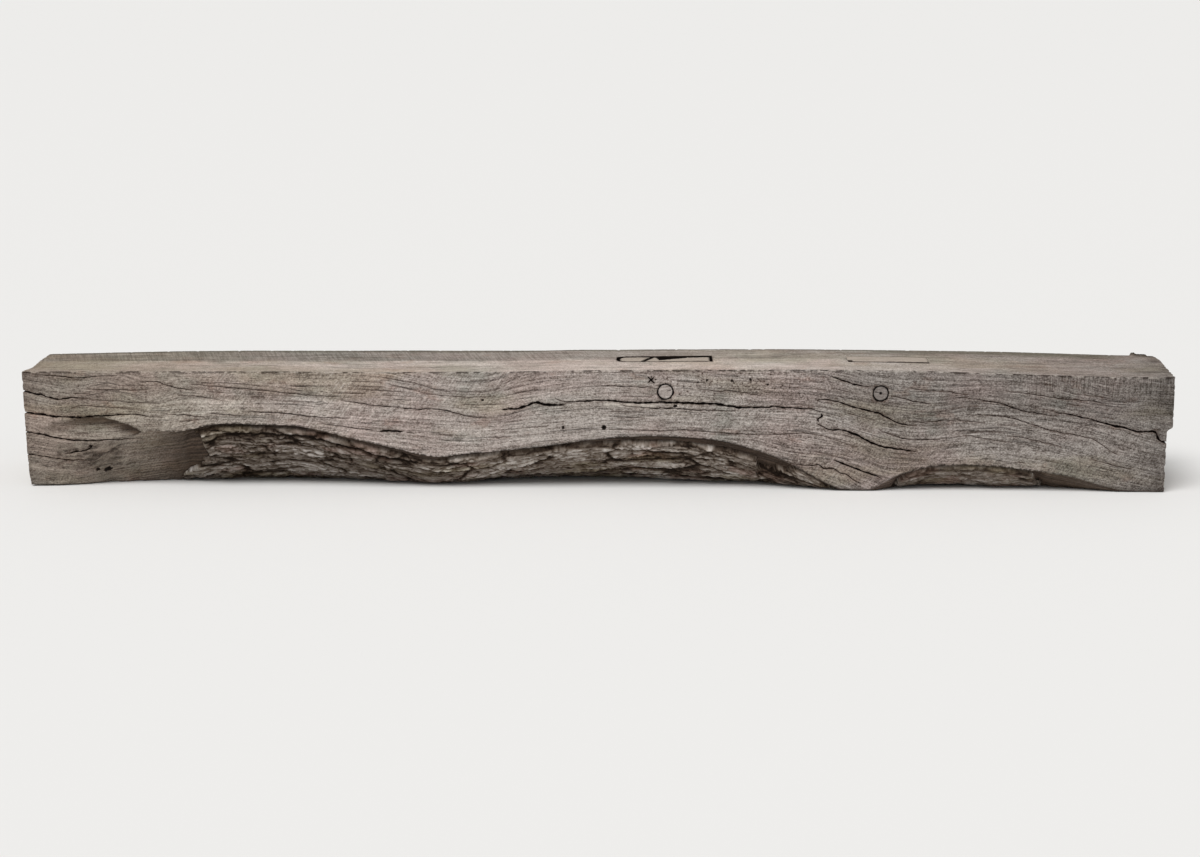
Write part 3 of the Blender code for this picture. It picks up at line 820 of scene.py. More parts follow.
# Places on the face where the grain bends round a buried knot: along, height, their spread
# and how far the grain is pushed, in metres
GRAIN_SWIRLS = ((-0.700, 0.150, 0.030, 0.022, 0.014), (-0.770, 0.165, 0.035, 0.018, -0.010),
                (0.320, 0.070, 0.060, 0.025, 0.008), (0.800, 0.150, 0.060, 0.022, 0.010))

# Damage near the left end, from and to along the beam and in height, in metres: a shallow hollow
# whose lip is highest at its crest, a torn knot, and a patch that keeps the marks of the saw
HOLLOW_ALONG = (-0.872, -0.708)
HOLLOW_CREST = (-0.785, 0.1130)
KNOT_ALONG, KNOT_UP = (-0.855, -0.745), (0.020, 0.072)
SAWN_ALONG, SAWN_UP = (-0.88, -0.69), (0.13, 0.17)

# A splinter stands up from the back edge: its middle, half its length and its width
SPLINTER_AT = 0.876
SPLINTER_REACH = 0.0135
SPLINTER_WIDTH = 7 * MM

# Bruises where paler wood shows, a smudge, and a pale sliver below a crack, in metres: the
# bruises and the smudge are given by their place along the beam, height and spread
BRUISES = ((0.349, 0.118, 0.005, 0.004), (0.366, 0.180, 0.006, 0.003))
SMUDGE = (0.848, 0.172, 0.012, 0.004)
SLIVER_ALONG = (0.004, 0.090)
SLIVER_HEIGHT = 0.1358
SLIVER_WIDTH = 3 * MM
# painted shade with some dirt, in a dark band just under the face edge where the ledge overhangs the
# bark
LEDGE_SHADE_AND_DIRT = (2.0 * MM, 2.8 * MM)   # how far below the face it lies, and its spread


def soft_spot(u, z, at_u, at_z, long, tall):
    """A soft round or long spot on the face, 1 in its middle."""
    return np.exp(-((u - at_u) / long) ** 2 - ((z - at_z) / tall) ** 2)


def lay_skin(flat):
    """Turns flat points into the beam's surface, with the marks that its material reads."""
    u, v = flat[:, 0], flat[:, 1]
    front_top, back_top = top_edges(u)
    high, reach = wane_size(u)
    wane_from, wane_to = wane_lines(u)
    on_back = v < TOP_START
    on_top = (v >= TOP_START) & (v < FACE_START)
    on_face = (v >= FACE_START) & (v < wane_from)
    on_wane = (v >= wane_from) & (v < wane_to)
    under = v >= wane_to
    y = np.full(len(u), BACK)
    z = v / HEIGHT * back_top
    across = (BACK - (v - TOP_START) - FRONT) / DEPTH
    y[on_top] = (BACK - (v - TOP_START))[on_top]
    z[on_top] = (front_top + (back_top - front_top) * across**2)[on_top]
    y[on_face] = FRONT
    z[on_face] = (front_top - (v - FACE_START))[on_face]
    down = np.clip((v - wane_from) / (wane_to - wane_from), 0, 1)
    wane_y, wane_z = wane_point(u, down, -wood_sink(u, down))
    y[on_wane], z[on_wane] = wane_y[on_wane], wane_z[on_wane]
    y[under] = (FRONT + v - UNDER_START)[under]
    z[under] = 0.0
    chord = np.hypot(high, reach)
    normal = np.zeros((len(u), 2))
    normal[on_back] = (1, 0)
    normal[on_top] = (0, 1)
    normal[on_face] = (-1, 0)
    normal[on_wane] = np.column_stack([-high / chord, -reach / chord])[on_wane]
    normal[under] = (0, -1)

    place = columns_of(u, y, z)
    level = grain_level(u, z)
    side = np.select([on_back, on_top, on_face, on_wane],
                     [BACK_SIDE, TOP_SIDE, FACE_SIDE, FACE_SIDE], UNDER_SIDE)
    across_grain = np.select([on_back, on_top, on_face, on_wane],
                             [z, y, level, level - y * 0.8], y)
    for at_x, at_z, wide, tall, push in GRAIN_SWIRLS:
        across_grain = across_grain + on_face * push * soft_spot(u, z, at_x, at_z, wide, tall)
    wander = 0.004 * ripple(place, (2.2, 6, 6))
    across_grain = across_grain + np.where(on_face | on_wane, 0.35 * wander, wander)
    grain = columns_of(u, across_grain, side)

    # broad unevenness, then ridges that stand up along the grain
    swell = 0.9 * MM * ripple(place, (3.0, 9, 9))
    ridges = ripple(grain, (9, 230, 1)) * 0.34 * MM + ripple(grain, (40, 420, 1)) * 0.16 * MM
    lift = np.where(on_face | on_top, swell + ridges, 0.6 * swell + ridges)
    lift = np.where(on_face | on_top | on_back, np.minimum(lift, 0.6 * MM), lift)
    # a shallow hollow with a sharp upper lip, near the left end
    past_crest = u - HOLLOW_CREST[0]
    lip = HOLLOW_CREST[1] - np.where(past_crest > 0, 6.0, 2.4) * past_crest ** 2
    lip += 2.2 * MM * ripple(place, (40, 1, 1), 3)
    below_lip = lip - z
    hollow = (step(-0.4 * MM, 1.6 * MM, below_lip) * step(26 * MM, 7 * MM, below_lip)
              * stretch(*HOLLOW_ALONG, u) * (0.55 + 0.45 * step(-0.85, -0.79, u)))
    lift -= (4.2 + 1.6 * ripple(grain + 2.6, (28, 120, 1), 3)) * MM * hollow * on_face
    # knotty, torn grain by the left foot
    knot = stretch(*KNOT_ALONG, u) * stretch(*KNOT_UP, z) * (v > FACE_START)
    torn = 1 - 2 * np.abs(ripple(grain + 0.7, (30, 85, 1), 4))
    lift += knot * (3.4 * MM * torn - 3.4 * MM)
    foot = step(-0.70, -0.78, u) * step(0.10, 0.07, z) * (v > FACE_START)
    lift += foot * (1.6 * MM * ripple(place, (22, 30, 45), 3) - 1.0 * MM)
    saw = stretch(*SAWN_ALONG, u) * stretch(*SAWN_UP, z) * on_face
    lift += saw * 0.5 * MM * ripple(place, (160, 1, 40))
    edge_fade = np.minimum.reduce([np.abs(v - line) for line in (0, TOP_START, FACE_START, ROUND)])
    lift *= step(0.0, 3 * MM, edge_fade)
    lift *= np.where(under, 0.0, 1.0)
    covered = barked(u)
    lift *= np.where(on_wane, step(0, 6 * MM, (v - wane_from)), 1.0)
    y = y + normal[:, 0] * lift
    z = z + normal[:, 1] * lift

    # arrises: worn, bruised and nicked; the third number is the share of a square corner
    # that each edge turns through
    stroll = ripple(columns_of(u, 0, 0), (14, 1, 1))
    bites = ripple(columns_of(u, 5, 0), (150, 1, 1), 3)
    big_bites = ripple(columns_of(u, 9, 0), (24, 1, 1), 2)
    front_wear = (1.5 + 0.5 * stroll + 2.6 * np.maximum(bites - 0.05, 0)
                  + 12 * np.maximum(big_bites - 0.38, 0)) * MM
    back_wear = (4.0 + 2.5 * stroll + 8 * np.maximum(bites - 0.2, 0)) * MM
    soft_left = step(-0.655, -0.73, u)
    soft_right = step(0.72, 0.76, u)
    wane_wear = 0.6 * MM + 60 * MM * soft_left + 5 * MM * soft_right
    foot_wear = (3.0 + 1.5 * stroll) * MM
    for line, wear, share, (to_y, to_z) in ((FACE_START, front_wear, 0.414, (0.7, -0.7)),
                                            (TOP_START, back_wear, 0.414, (-0.7, -0.7)),
                                            (wane_from, wane_wear, 0.16, (0.95, 0.3)),
                                            (wane_to, foot_wear, 0.2, (0.35, 0.85))):
        bite = share * wear * np.clip(1 - np.abs(v - line) / wear, 0, 1) ** 2
        y = y + to_y * bite
        z = z + to_z * bite

    # raised splinter on the back edge near the right end
    splinter = (np.abs(u - SPLINTER_AT) < SPLINTER_REACH) & (y > BACK - SPLINTER_WIDTH) & on_top
    z = z + (2.6 + 2.4 * step(0.871, 0.867, u) + 1.2 * bites) * MM * splinter

    depth, soot_and_shade = skin.depth_at(flat)
    y = y - normal[:, 0] * depth
    z = z - normal[:, 1] * depth
    z = np.maximum(z, 0.0)
    x = u + end_offset(u, y, z)

    # pale wood: the rubbed arris with a painted highlight along it, torn fibre with painted light on
    # the crests of the torn knot, bruises and a sliver beside a crack
    arris = v - FACE_START - 0.6 * MM
    flecks = (0.7 * ripple(columns_of(u, v, 0), (230, 330, 1))
              + 0.9 * ripple(columns_of(u, v, 3), (42, 160, 1), 2))
    on_arris = step(2.8 * MM, 0.6 * MM, np.abs(arris))
    pale_and_highlight = 0.62 * on_arris * step(-0.15, 0.40, flecks + 0.3 * bites)
    pale_and_highlight += 0.8 * knot * step(0.62, 0.90, torn)
    for bruise in BRUISES:
        pale_and_highlight += 0.9 * soft_spot(u, z, *bruise)
    off_sliver = z - SLIVER_HEIGHT + 0.03 * (u - 0.05)
    pale_and_highlight += 2.4 * stretch(*SLIVER_ALONG, u) * np.exp(-(off_sliver / SLIVER_WIDTH) ** 2) * on_face

    # dark brown: wood bare under lost bark, painted shade in the hollow under its lip, the knot and the
    # back edge
    run = down * chord
    strip = on_wane * covered * step(0.2 * MM, 1.5 * MM, run)
    to_bark = step(-0.83, -0.635, u)
    bare = on_wane * (1 - covered) * ((0.30 + 0.62 * to_bark ** 1.5) * (u < 0) * step(-0.87, -0.83, u)
                                      + 0.92 * (u > 0) * step(0, 3 * MM, run))
    shade = (0.55 * step(0.104, 0.080, z) * to_bark * step(-0.60, -0.66, u)
             + 0.26 * step(0.10, 0.05, z) * step(-0.66, -0.74, u)) * on_face
    back_edge = (0.50 + 0.5 * ripple(place, (30, 1, 1), 3)) * (v > TOP_START - 3 * MM)
    back_edge *= step(15 * MM, 3 * MM, v - TOP_START)
    wide_band = (22 + 30 * stretch(0.42, 0.86, u) + 9 * ripple(place, (7, 1, 1), 3)) * MM
    mossy = on_top * step(wide_band, 0.35 * wide_band, v - TOP_START) * step(0.87, 0.80, u)
    brown = np.clip(0.95 * hollow * on_face + strip + bare
                    + 0.25 * knot + shade + back_edge + splinter, 0, 1)
    brown_or_moss = np.where(on_top & (splinter < 1), mossy, brown)
    marks = columns_of(soot_and_shade, np.clip(pale_and_highlight, 0, 1), brown_or_moss, 1)

    # dirt and painted shade: painted shade with dirt along the ledge over the bark, dirt in the arris,
    # painted shade under the lip of the hollow, painted shade with dirt in the furrows of the torn
    # knot, and dirt on both ends
    dirt_and_shade = 0.92 * on_wane * covered * np.exp(-((run - LEDGE_SHADE_AND_DIRT[0]) / LEDGE_SHADE_AND_DIRT[1]) ** 2)
    dirt_and_shade += (0.30 + 0.5 * ripple(grain, (25, 160, 1), 3)) * on_wane * covered
    dirt_and_shade += 1.0 * on_arris * step(-0.04, 0.26, -flecks - 0.4 * bites)
    dirt_and_shade += 0.55 * soft_spot(u, z, *SMUDGE) * on_face
    dirt_and_shade += 0.7 * back_edge + 0.35 * knot * step(0.30, 0.00, torn)
    # painted shadow under the sharp lip of the hollow
    under_lip_shade = np.exp(-((below_lip - 2.5 * MM) / (4 * MM)) ** 2)
    dirt_and_shade += 0.5 * hollow * on_face * under_lip_shade * step(-0.85, -0.78, u)
    dirt_and_shade += 0.5 * bare * step(-0.70, -0.64, u) * (u < 0)
    right_soil = 0.45 + 0.8 * ripple(place, (60, 60, 40), 3)
    left_soil = 0.3 + ripple(place, (80, 80, 60), 2)
    end_soil = (step(right_u - 0.050, right_u - 0.004, u) * right_soil
                + 0.7 * step(left_u + 0.010, left_u + 0.001, u) * left_soil)
    dirt_and_shade += 0.6 * np.clip(end_soil, 0, 1) * (on_face | on_top) + 0.5 * splinter

    # how pale it has weathered
    halfway = y + 0.007 * ripple(place, (9, 1, 1), 3) - 0.045 * step(0.40, 0.56, u)
    front_half = step(0.006, -0.010, halfway)
    top_front, top_back = curve(TOP_FRONT_TONE, u / MM)[:, 0], curve(TOP_BACK_TONE, u / MM)[:, 0]
    face_tone = curve(FACE_TONE, u / MM)[:, 0]
    near_top = on_face * (0.20 * stretch(0.13, 0.21, z) * step(-0.58, -0.78, u)
                          + 0.12 * step(0.095, 0.150, z) * step(0.30, 0.42, u))
    tone = np.where(on_top, top_back + (top_front - top_back) * front_half, face_tone - near_top)
    tone = np.where(under | on_back, HIDDEN_TONE, tone)
    kind = columns_of(on_top.astype(float), tone * 0.5, np.clip(dirt_and_shade, 0, 1), 1)
    return columns_of(x, y, z), grain, marks, kind


def mesh_piece(name, points, faces, attributes):
    """Smooth mesh object with named attributes on its points: (name, kind, rows)."""
    mesh = bpy.data.meshes.new(name)
    mesh.from_pydata([tuple(p) for p in np.asarray(points).tolist()], [], faces)
    for title, kind, rows in attributes:
        layer = mesh.attributes.new(title, kind, 'POINT')
        key = "vector" if kind == 'FLOAT_VECTOR' else "color"
        layer.data.foreach_set(key, np.asarray(rows, np.float32).ravel())
    mesh.shade_smooth()
    made = bpy.data.objects.new(name, mesh)
    bpy.context.scene.collection.objects.link(made)
    return made


points, grain, marks, kind = lay_skin(flat)
parts = [(points, grain, marks, kind)]


def joined(*rows):
    """Adds points to the beam, with their grain, marks and kind, and returns their numbers."""
    start = sum(len(part[0]) for part in parts)
    parts.append(rows)
    return list(range(start, start + len(rows[0])))


def rim(u_end):
    """Skin points on one end, in order round the beam."""
    on_end = np.where(np.abs(flat[:, 0] - u_end) < 1e-6)[0]
    return on_end[np.argsort(flat[on_end, 1])]


# The two ends, with growth rings round the pith and checks that run out from it
END_STEP = 4.2 * MM
END_CHECKS = 15
LONG_CHECKS = 3
GOLDEN_TURN = 0.382         # each check starts this share of a turn after the last one
PITH = (0.012, 0.090)
end_faces = []

for u_end, turn in ((left_u, -1), (right_u, 1)):
    ring = rim(u_end)
    ring = ring[:-1] if abs(flat[ring[-1], 1] - ROUND) < 1e-9 else ring
    outline = points[ring][:, 1:]
    cap = Skin()
    cap.line(outline, closed=True)
    for k in range(END_CHECKS):
        angle = 2 * math.pi * (k * GOLDEN_TURN + draw.uniform(-0.06, 0.06))
        long_one = k < LONG_CHECKS
        start = draw.uniform(0.002, 0.010) if long_one else draw.uniform(0.012, 0.045)
        stop = draw.uniform(0.060, 0.078) if long_one else start + draw.uniform(0.012, 0.03)
        r = np.arange(start, stop, 2.6 * MM)
        bend = angle + 0.06 * ripple(columns_of(r, k, 0), (30, 1, 1))
        path = np.column_stack([PITH[0] + r * np.cos(bend), PITH[1] + r * np.sin(bend)])
        width = draw.uniform(1.0, 2.2) if long_one else draw.uniform(0.4, 0.9)
        depth = draw.uniform(8, 14) if long_one else draw.uniform(2, 4)
        cap.crack(path, width * MM, depth * MM)
    grid = np.array([(y + draw.uniform(-1, 1) * MM, z + draw.uniform(-1, 1) * MM)
                     for y in np.arange(FRONT, BACK, END_STEP)
                     for z in np.arange(0, HEIGHT, END_STEP)])
    grid = grid[inside(outline, grid)]
    rim_tree = search_tree(outline)
    grid = [p for p in grid.tolist() if rim_tree.find((p[0], p[1], 0))[2] > 2.5 * MM]
    cap.points += cap.clear_of_cracks(grid, 1.2 * MM)
    cap_flat, cap_faces = cap.triangles_in(outline)
    depth, soot_and_shade = cap.depth_at(cap_flat)
    base = np.full(len(cap_flat), u_end)
    x = base + end_offset(base, cap_flat[:, 0], cap_flat[:, 1]) - turn * depth
    fibres = ripple(np.column_stack([base, cap_flat]), (1, 260, 260)) * 0.35 * MM
    near_rim = np.array([rim_tree.find((p[0], p[1], 0))[2] for p in cap_flat.tolist()])
    x -= turn * np.abs(fibres) * (near_rim > MM)
    ids = joined(np.column_stack([x, cap_flat]), columns_of(cap_flat - PITH, END_SIDE),
                 columns_of(soot_and_shade, 0, 0, 1), columns_of(x * 0, 0.4, 0, 1))
    order = (0, 1, 2) if turn > 0 else (0, 2, 1)
    end_faces += [tuple(ids[f[i]] for i in order) for f in cap_faces]

# Walls of the mortises and peg holes, in rings that lie so many mm in
MORTISE_FLOOR = tenon_1_low.z - MORTISE_FIT
MORTISE_STEPS = (0.5, 4, 12, 40)
PEG_HOLE_DEPTH = 24 * MM
PEG_HOLE_STEPS = (0.5, 3, 12)


def open_loops(faces, inner):
    """Closed runs of edges that bound one triangle only, kept where inner says so."""
    used = dict.fromkeys((one, two) for a, b, c in faces.tolist()
                         for one, two in ((a, b), (b, c), (c, a)))
    following = {one: two for one, two in used if (two, one) not in used}
    loops = []
    while following:
        first, here = next(iter(following.items()))
        del following[first]
        loop = [first]
        while here != first:
            loop.append(here)
            here = following.pop(here)
        if inner(loop):
            loops.append(loop)
    return loops


def off_ends(ids):
    """Whether a run of skin points keeps clear of both ends."""
    return flat[ids, 0].min() > left_u and flat[ids, 0].max() < right_u


wall_faces = []
for loop in open_loops(faces, off_ends):
    rim_points = points[loop]
    in_top = flat[loop, 1].mean() < FACE_START
    inward = 2 if in_top else 1
    if in_top:
        levels = [rim_points[:, 2] - drop * MM for drop in MORTISE_STEPS]
        levels.append(np.full(len(loop), MORTISE_FLOOR))
    else:
        levels = [rim_points[:, 1] + drop * MM for drop in PEG_HOLE_STEPS]
        levels.append(np.full(len(loop), FRONT + PEG_HOLE_DEPTH))
    # dirt and painted shade on the lip of each mortise and peg hole
    lip_dirt_and_shade = 0.46 + 0.20 * ripple(rim_points, (230, 230, 230), 2)
    # the second mortise is tight, so only its front edge holds dirt and painted shade
    if in_top and rim_points[:, 0].mean() > 0.3:
        lip_dirt_and_shade *= rim_points[:, 1] < MORTISE_FRONT + 3 * MM
    marks[loop, 0] = np.maximum(marks[loop, 0], lip_dirt_and_shade)
    middle = rim_points.mean(0)
    before = list(loop)
    for number, level in enumerate(levels):
        rows = rim_points.copy()
        rows[:, inward] = level
        swell = ripple(rows, (110, 110, 110))[:, None] * 0.35 * MM
        outward = rows - middle
        outward[:, inward] = 0
        rows += swell * outward / np.linalg.norm(outward, axis=1)[:, None]
        # painted shade: each ring of the walls darker the deeper it lies, and the floor darkest
        after = joined(rows, columns_of(rows[:, 0], rows[:, 2] * 0.6 + rows[:, 1], WALL_SIDE),
                       np.tile([min(1.0, 0.6 + 0.3 * number), 0, 1, 1], (len(rows), 1)),
                       np.tile([0, 0.4, 0.5, 1], (len(rows), 1)))
        for i in range(len(loop)):
            j = (i + 1) % len(loop)
            wall_faces.append((before[j], before[i], after[i]))
            wall_faces.append((before[j], after[i], after[j]))
        before = after
    hub, = joined(rows.mean(0)[None], np.array([[rows[:, 0].mean(), 0, WALL_SIDE]]),
                  np.array([[1, 0, 0, 1]]), np.array([[0, 0.4, 1, 1]]))
    for i in range(len(before)):
        wall_faces.append((before[(i + 1) % len(before)], before[i], hub))

points, grain, marks, kind = [np.vstack(columns) for columns in zip(*parts)]
beam = mesh_piece("oak_beam", points, [tuple(f) for f in faces.tolist()] + end_faces + wall_faces,
                  (("grain", 'FLOAT_VECTOR', grain), ("marks", 'FLOAT_COLOR', marks),
                   ("kind", 'FLOAT_COLOR', kind)))
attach(beam, "root")
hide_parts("beam")


def pattern(tree, where, per_metre, detail=2.0, roughness=0.5):
    """Noise with so many cells a metre along each axis of the coordinates."""
    spread = add(tree, 'ShaderNodeVectorMath', {0: where, 1: per_metre}, operation='MULTIPLY')
    return add(tree, 'ShaderNodeTexNoise', {"Vector": spread.outputs[0], "Scale": 1.0, "Detail": detail,
                                            "Roughness": roughness}).outputs[0]


def between_values(tree, value, low, high, low_result=0.0, high_result=1.0):
    """Soft step of a value from one result to another."""
    return add(tree, 'ShaderNodeMapRange', {"Value": value, "From Min": low, "From Max": high,
                                            "To Min": low_result, "To Max": high_result},
               interpolation_type='SMOOTHSTEP').outputs[0]


def blend(tree, share, one, two, kind='MIX'):
    """Two colours mixed by a share."""
    return add(tree, 'ShaderNodeMix', {0: share, 6: one, 7: two}, data_type='RGBA', blend_type=kind,
               clamp_factor=True).outputs[2]


def calc(tree, kind, one, two):
    """One arithmetic step on two values, such as ADD or SUBTRACT."""
    return add(tree, 'ShaderNodeMath', {0: one, 1: two}, operation=kind).outputs[0]


def product(tree, first, *others):
    """Values multiplied one after another."""
    for other in others:
        first = calc(tree, 'MULTIPLY', first, other)
    return first


def weighed(tree, *pairs):
    """Sum of values, each times its weight."""
    total = None
    for value, weight in pairs:
        part = product(tree, value, weight)
        total = part if total is None else calc(tree, 'ADD', total, part)
    return total


def tint(tree, color, share, weight, code, kind='MIX'):
    """A colour with another one laid over it, by a share times a weight."""
    return blend(tree, product(tree, share, weight), color, linear(code), kind)


def dimmed(tree, color, value):
    """A colour multiplied by one value."""
    grey = add(tree, 'ShaderNodeCombineColor', {0: value, 1: value, 2: value}).outputs[0]
    return blend(tree, 1.0, color, grey, 'MULTIPLY')


def patches(tree, where, per_metre, low, high, detail=2, roughness=0.6):
    """Noise turned into soft patches: 0 below low and 1 above high."""
    return between_values(tree, pattern(tree, where, per_metre, detail, roughness), low, high)


def parts_of(tree, name):
    """Red, green and blue of a point attribute."""
    read = add(tree, 'ShaderNodeAttribute', attribute_name=name)
    return add(tree, 'ShaderNodeSeparateColor', {0: read.outputs["Color"]}).outputs[:3]


def finish_material(tree, shader, color, roughness, height, strength, distance):
    """Joins colour, roughness and bumps to the shader."""
    tree.links.new(color, shader.inputs["Base Color"])
    shader.inputs["Roughness"].default_value = roughness
    bump = add(tree, 'ShaderNodeBump', {"Height": height, "Strength": strength, "Distance": distance})
    tree.links.new(bump.outputs[0], shader.inputs["Normal"])


# Weathered oak: silver-grey, dry and open-grained. Long streaks follow the growth of the log,
# dark pores and hair checks break them, and old saw kerfs cross them at a slant.
oak, tree, shader = new_material("weathered oak", ior=1.4, specular=0.2)
grain_read = add(tree, 'ShaderNodeAttribute', attribute_name="grain").outputs["Vector"]
along, across, side = add(tree, 'ShaderNodeSeparateXYZ', {0: grain_read}).outputs
crack, pale_and_highlight, brown = parts_of(tree, "marks")
on_top, weathered, dirt_and_shade = parts_of(tree, "kind")
place = add(tree, 'ShaderNodeTexCoord').outputs["Object"]
low_x, low_y, height_z = add(tree, 'ShaderNodeSeparateXYZ', {0: place}).outputs
TONE_MIDDLE = 0.545

streaks = pattern(tree, grain_read, (6, 250, 1), 5, 0.68)
fibres = pattern(tree, grain_read, (35, 950, 1), 3, 0.65)
broad = pattern(tree, grain_read, (2.5, 42, 1), 3, 0.5)
mottle = pattern(tree, place, (30, 30, 38), 5, 0.7)
speckle = pattern(tree, place, (400, 400, 480), 2, 0.7)
tone = weighed(tree, (streaks, 0.30), (fibres, 0.26), (broad, 0.08), (mottle, 0.12), (speckle, 0.34))
# the right half has weathered more unevenly, so its grain stands out more
contrast = between_values(tree, low_x, 0.00, 0.30, 1.0, 1.28)
tone = product(tree, calc(tree, 'SUBTRACT', tone, TONE_MIDDLE), contrast)
tone = calc(tree, 'ADD', tone, TONE_MIDDLE)
color = add(tree, 'ShaderNodeValToRGB', {0: tone},
            stops=((0.44, "#564d46"), (0.50, "#8b817a"), (0.55, "#aaa19a"), (0.60, "#c0b7b0"),
                   (0.66, "#dfd7d0"))).outputs[0]
# broad patches, warm, olive, cool and rusty: cells a metre, from, to, weight and colour
for per_metre, low, high, weight, code in (((6, 6, 11), 0.40, 0.62, 0.5, "#f0dcdc"),
                                           ((4, 7, 14), 0.48, 0.66, 0.55, "#dcd8c2"),
                                           ((9, 9, 14), 0.52, 0.66, 0.7, "#dbe2df"),
                                           ((16, 16, 40), 0.60, 0.70, 0.35, "#e3c4b6")):
    patch = patches(tree, place, per_metre, low, high, 3)
    color = tint(tree, color, patch, weight, code, 'MULTIPLY')

# hair checks: thin dark lines where a long noise crosses its middle value
lines = pattern(tree, grain_read, (3.2, 105, 1), 4, 0.6)
lines = calc(tree, 'ABSOLUTE', calc(tree, 'SUBTRACT', lines, 0.5), 0.0)
lines = between_values(tree, lines, 0.010, 0.003)
lines = product(tree, lines, patches(tree, grain_read, (12, 70, 1), 0.48, 0.60, 2, 0.5))
color = tint(tree, color, lines, 0.6, "#40352e")
pores = patches(tree, grain_read, (80, 560, 1), 0.60, 0.68)
color = tint(tree, color, pores, 0.5, "#55493f")
nicks = patches(tree, place, (230, 230, 300), 0.66, 0.72)
color = tint(tree, color, nicks, 0.5, "#463b33")

# saw kerfs: a fine slanting hatch that shows in some places only
slant = add(tree, 'ShaderNodeMapping', {"Vector": place, "Rotation": (0.0, math.radians(-38), 0.0)})
kerf = pattern(tree, slant.outputs[0], (560, 60, 48), 2, 0.6)
sawn_here = patches(tree, place, (4, 3, 8), 0.42, 0.6, 3)
upright = between_values(tree, on_top, 0.4, 0.6, 1.0, 0.15)
kerf_light = product(tree, between_values(tree, kerf, 0.54, 0.70), sawn_here, upright)
kerf_dark = product(tree, between_values(tree, kerf, 0.46, 0.30), sawn_here, upright)
color = tint(tree, color, kerf_light, 0.28, "#e2dad1")
color = tint(tree, color, kerf_dark, 0.34, "#5c5048")

# tooth marks of the saw stand upright under the arris, near the right end
teeth = pattern(tree, place, (430, 1, 40), 2, 0.6)
toothed = product(tree, between_values(tree, low_x, 0.60, 0.70),
                  between_values(tree, height_z, 0.145, 0.165),
                  between_values(tree, on_top, 0.0, 0.5, 1.0, 0.0))
teeth_light = product(tree, between_values(tree, teeth, 0.52, 0.66), toothed)
teeth_dark = product(tree, between_values(tree, teeth, 0.48, 0.34), toothed)
color = tint(tree, color, teeth_light, 0.42, "#dcd4ca")
color = tint(tree, color, teeth_dark, 0.58, "#4b4236")

# the top is rubbed smoother, so its figure is weaker and its colour warmer; its back half on the
# left keeps the marks of the saw, a little aslant across the beam
color = tint(tree, color, on_top, 0.24, "#b8ab9d")
aslant = add(tree, 'ShaderNodeMapping', {"Vector": place, "Rotation": (0.0, 0.0, math.radians(-12))})
top_kerf = pattern(tree, aslant.outputs[0], (300, 12, 1), 3, 0.6)
rear_left = product(tree, between_values(tree, low_x, 0.15, -0.10),
                    between_values(tree, low_y, -0.03, 0.02), on_top)
top_dark = product(tree, between_values(tree, top_kerf, 0.50, 0.38), rear_left)
top_light = product(tree, between_values(tree, top_kerf, 0.52, 0.64), rear_left)
color = tint(tree, color, top_dark, 0.35, "#6d6352")
color = tint(tree, color, top_light, 0.25, "#d2c9ba")
# weather has darkened some stretches of the beam more than others; the mesh holds half the value
color = dimmed(tree, color, product(tree, weathered, 2.0))
# pale wood, with painted highlight along the arris and on the crests of the torn knot
fleck = between_values(tree, pattern(tree, place, (420, 420, 420), 2, 0.7), 0.42, 0.55, 0.40, 1.0)
color = tint(tree, color, product(tree, pale_and_highlight, fleck), 0.8, "#d3cabf")
# the left end has gone a little yellow and green
color = tint(tree, color, between_values(tree, low_x, -0.45, -0.72), 0.5, "#f3efdf", 'MULTIPLY')
# bare wood where bark has gone is dark and brown, as is the painted shade in the hollow, and damp has
# left an olive film on the top
skin_tone = add(tree, 'ShaderNodeValToRGB', {0: streaks},
                stops=((0.35, "#2c211a"), (0.5, "#493a2f"), (0.65, "#6a5747"))).outputs[0]
bare_wood = product(tree, brown, calc(tree, 'SUBTRACT', 1.0, on_top))
color = blend(tree, product(tree, bare_wood, 0.88), color, skin_tone)
color = tint(tree, color, product(tree, brown, on_top), 0.62, "#5d5948")

# ends: growth rings round the pith, and rays out from it
RINGS_PER_METRE = 240.0
is_end = between_values(tree, side, 7.5, 8.5)
ring_place = add(tree, 'ShaderNodeCombineXYZ', {0: along, 1: across, 2: 0.0}).outputs[0]
ring_wobble = pattern(tree, ring_place, (14, 14, 1), 2, 0.5)
radius = add(tree, 'ShaderNodeVectorMath', {0: ring_place}, operation='LENGTH').outputs["Value"]
radius = calc(tree, 'ADD', radius, product(tree, ring_wobble, 0.02))
ring = calc(tree, 'FRACT', product(tree, radius, RINGS_PER_METRE), 0.0)
end_speck = pattern(tree, ring_place, (700, 700, 1), 3, 0.7)
end_rays = pattern(tree, ring_place, (60, 60, 1), 4, 0.6)
end_tone = weighed(tree, (ring, 0.30), (end_speck, 0.62), (end_rays, 0.30))
end_color = add(tree, 'ShaderNodeValToRGB', {0: end_tone},
                stops=((0.42, "#463b32"), (0.58, "#85786c"), (0.76, "#b5a99b"))).outputs[0]
color = blend(tree, is_end, color, end_color)
# old dirt and painted shade lie in the corners, along the ledge over the bark and under the lip of the
# hollow, and soot with painted shade fills each crack between its lips
color = tint(tree, color, dirt_and_shade, 0.85, "#2a1f19")
color = tint(tree, color, between_values(tree, crack, 0.0, LIP_SOOT), 0.30, "#6a5245")
color = tint(tree, color, between_values(tree, crack, LIP_SOOT, 0.50), 0.96, "#160f0b")

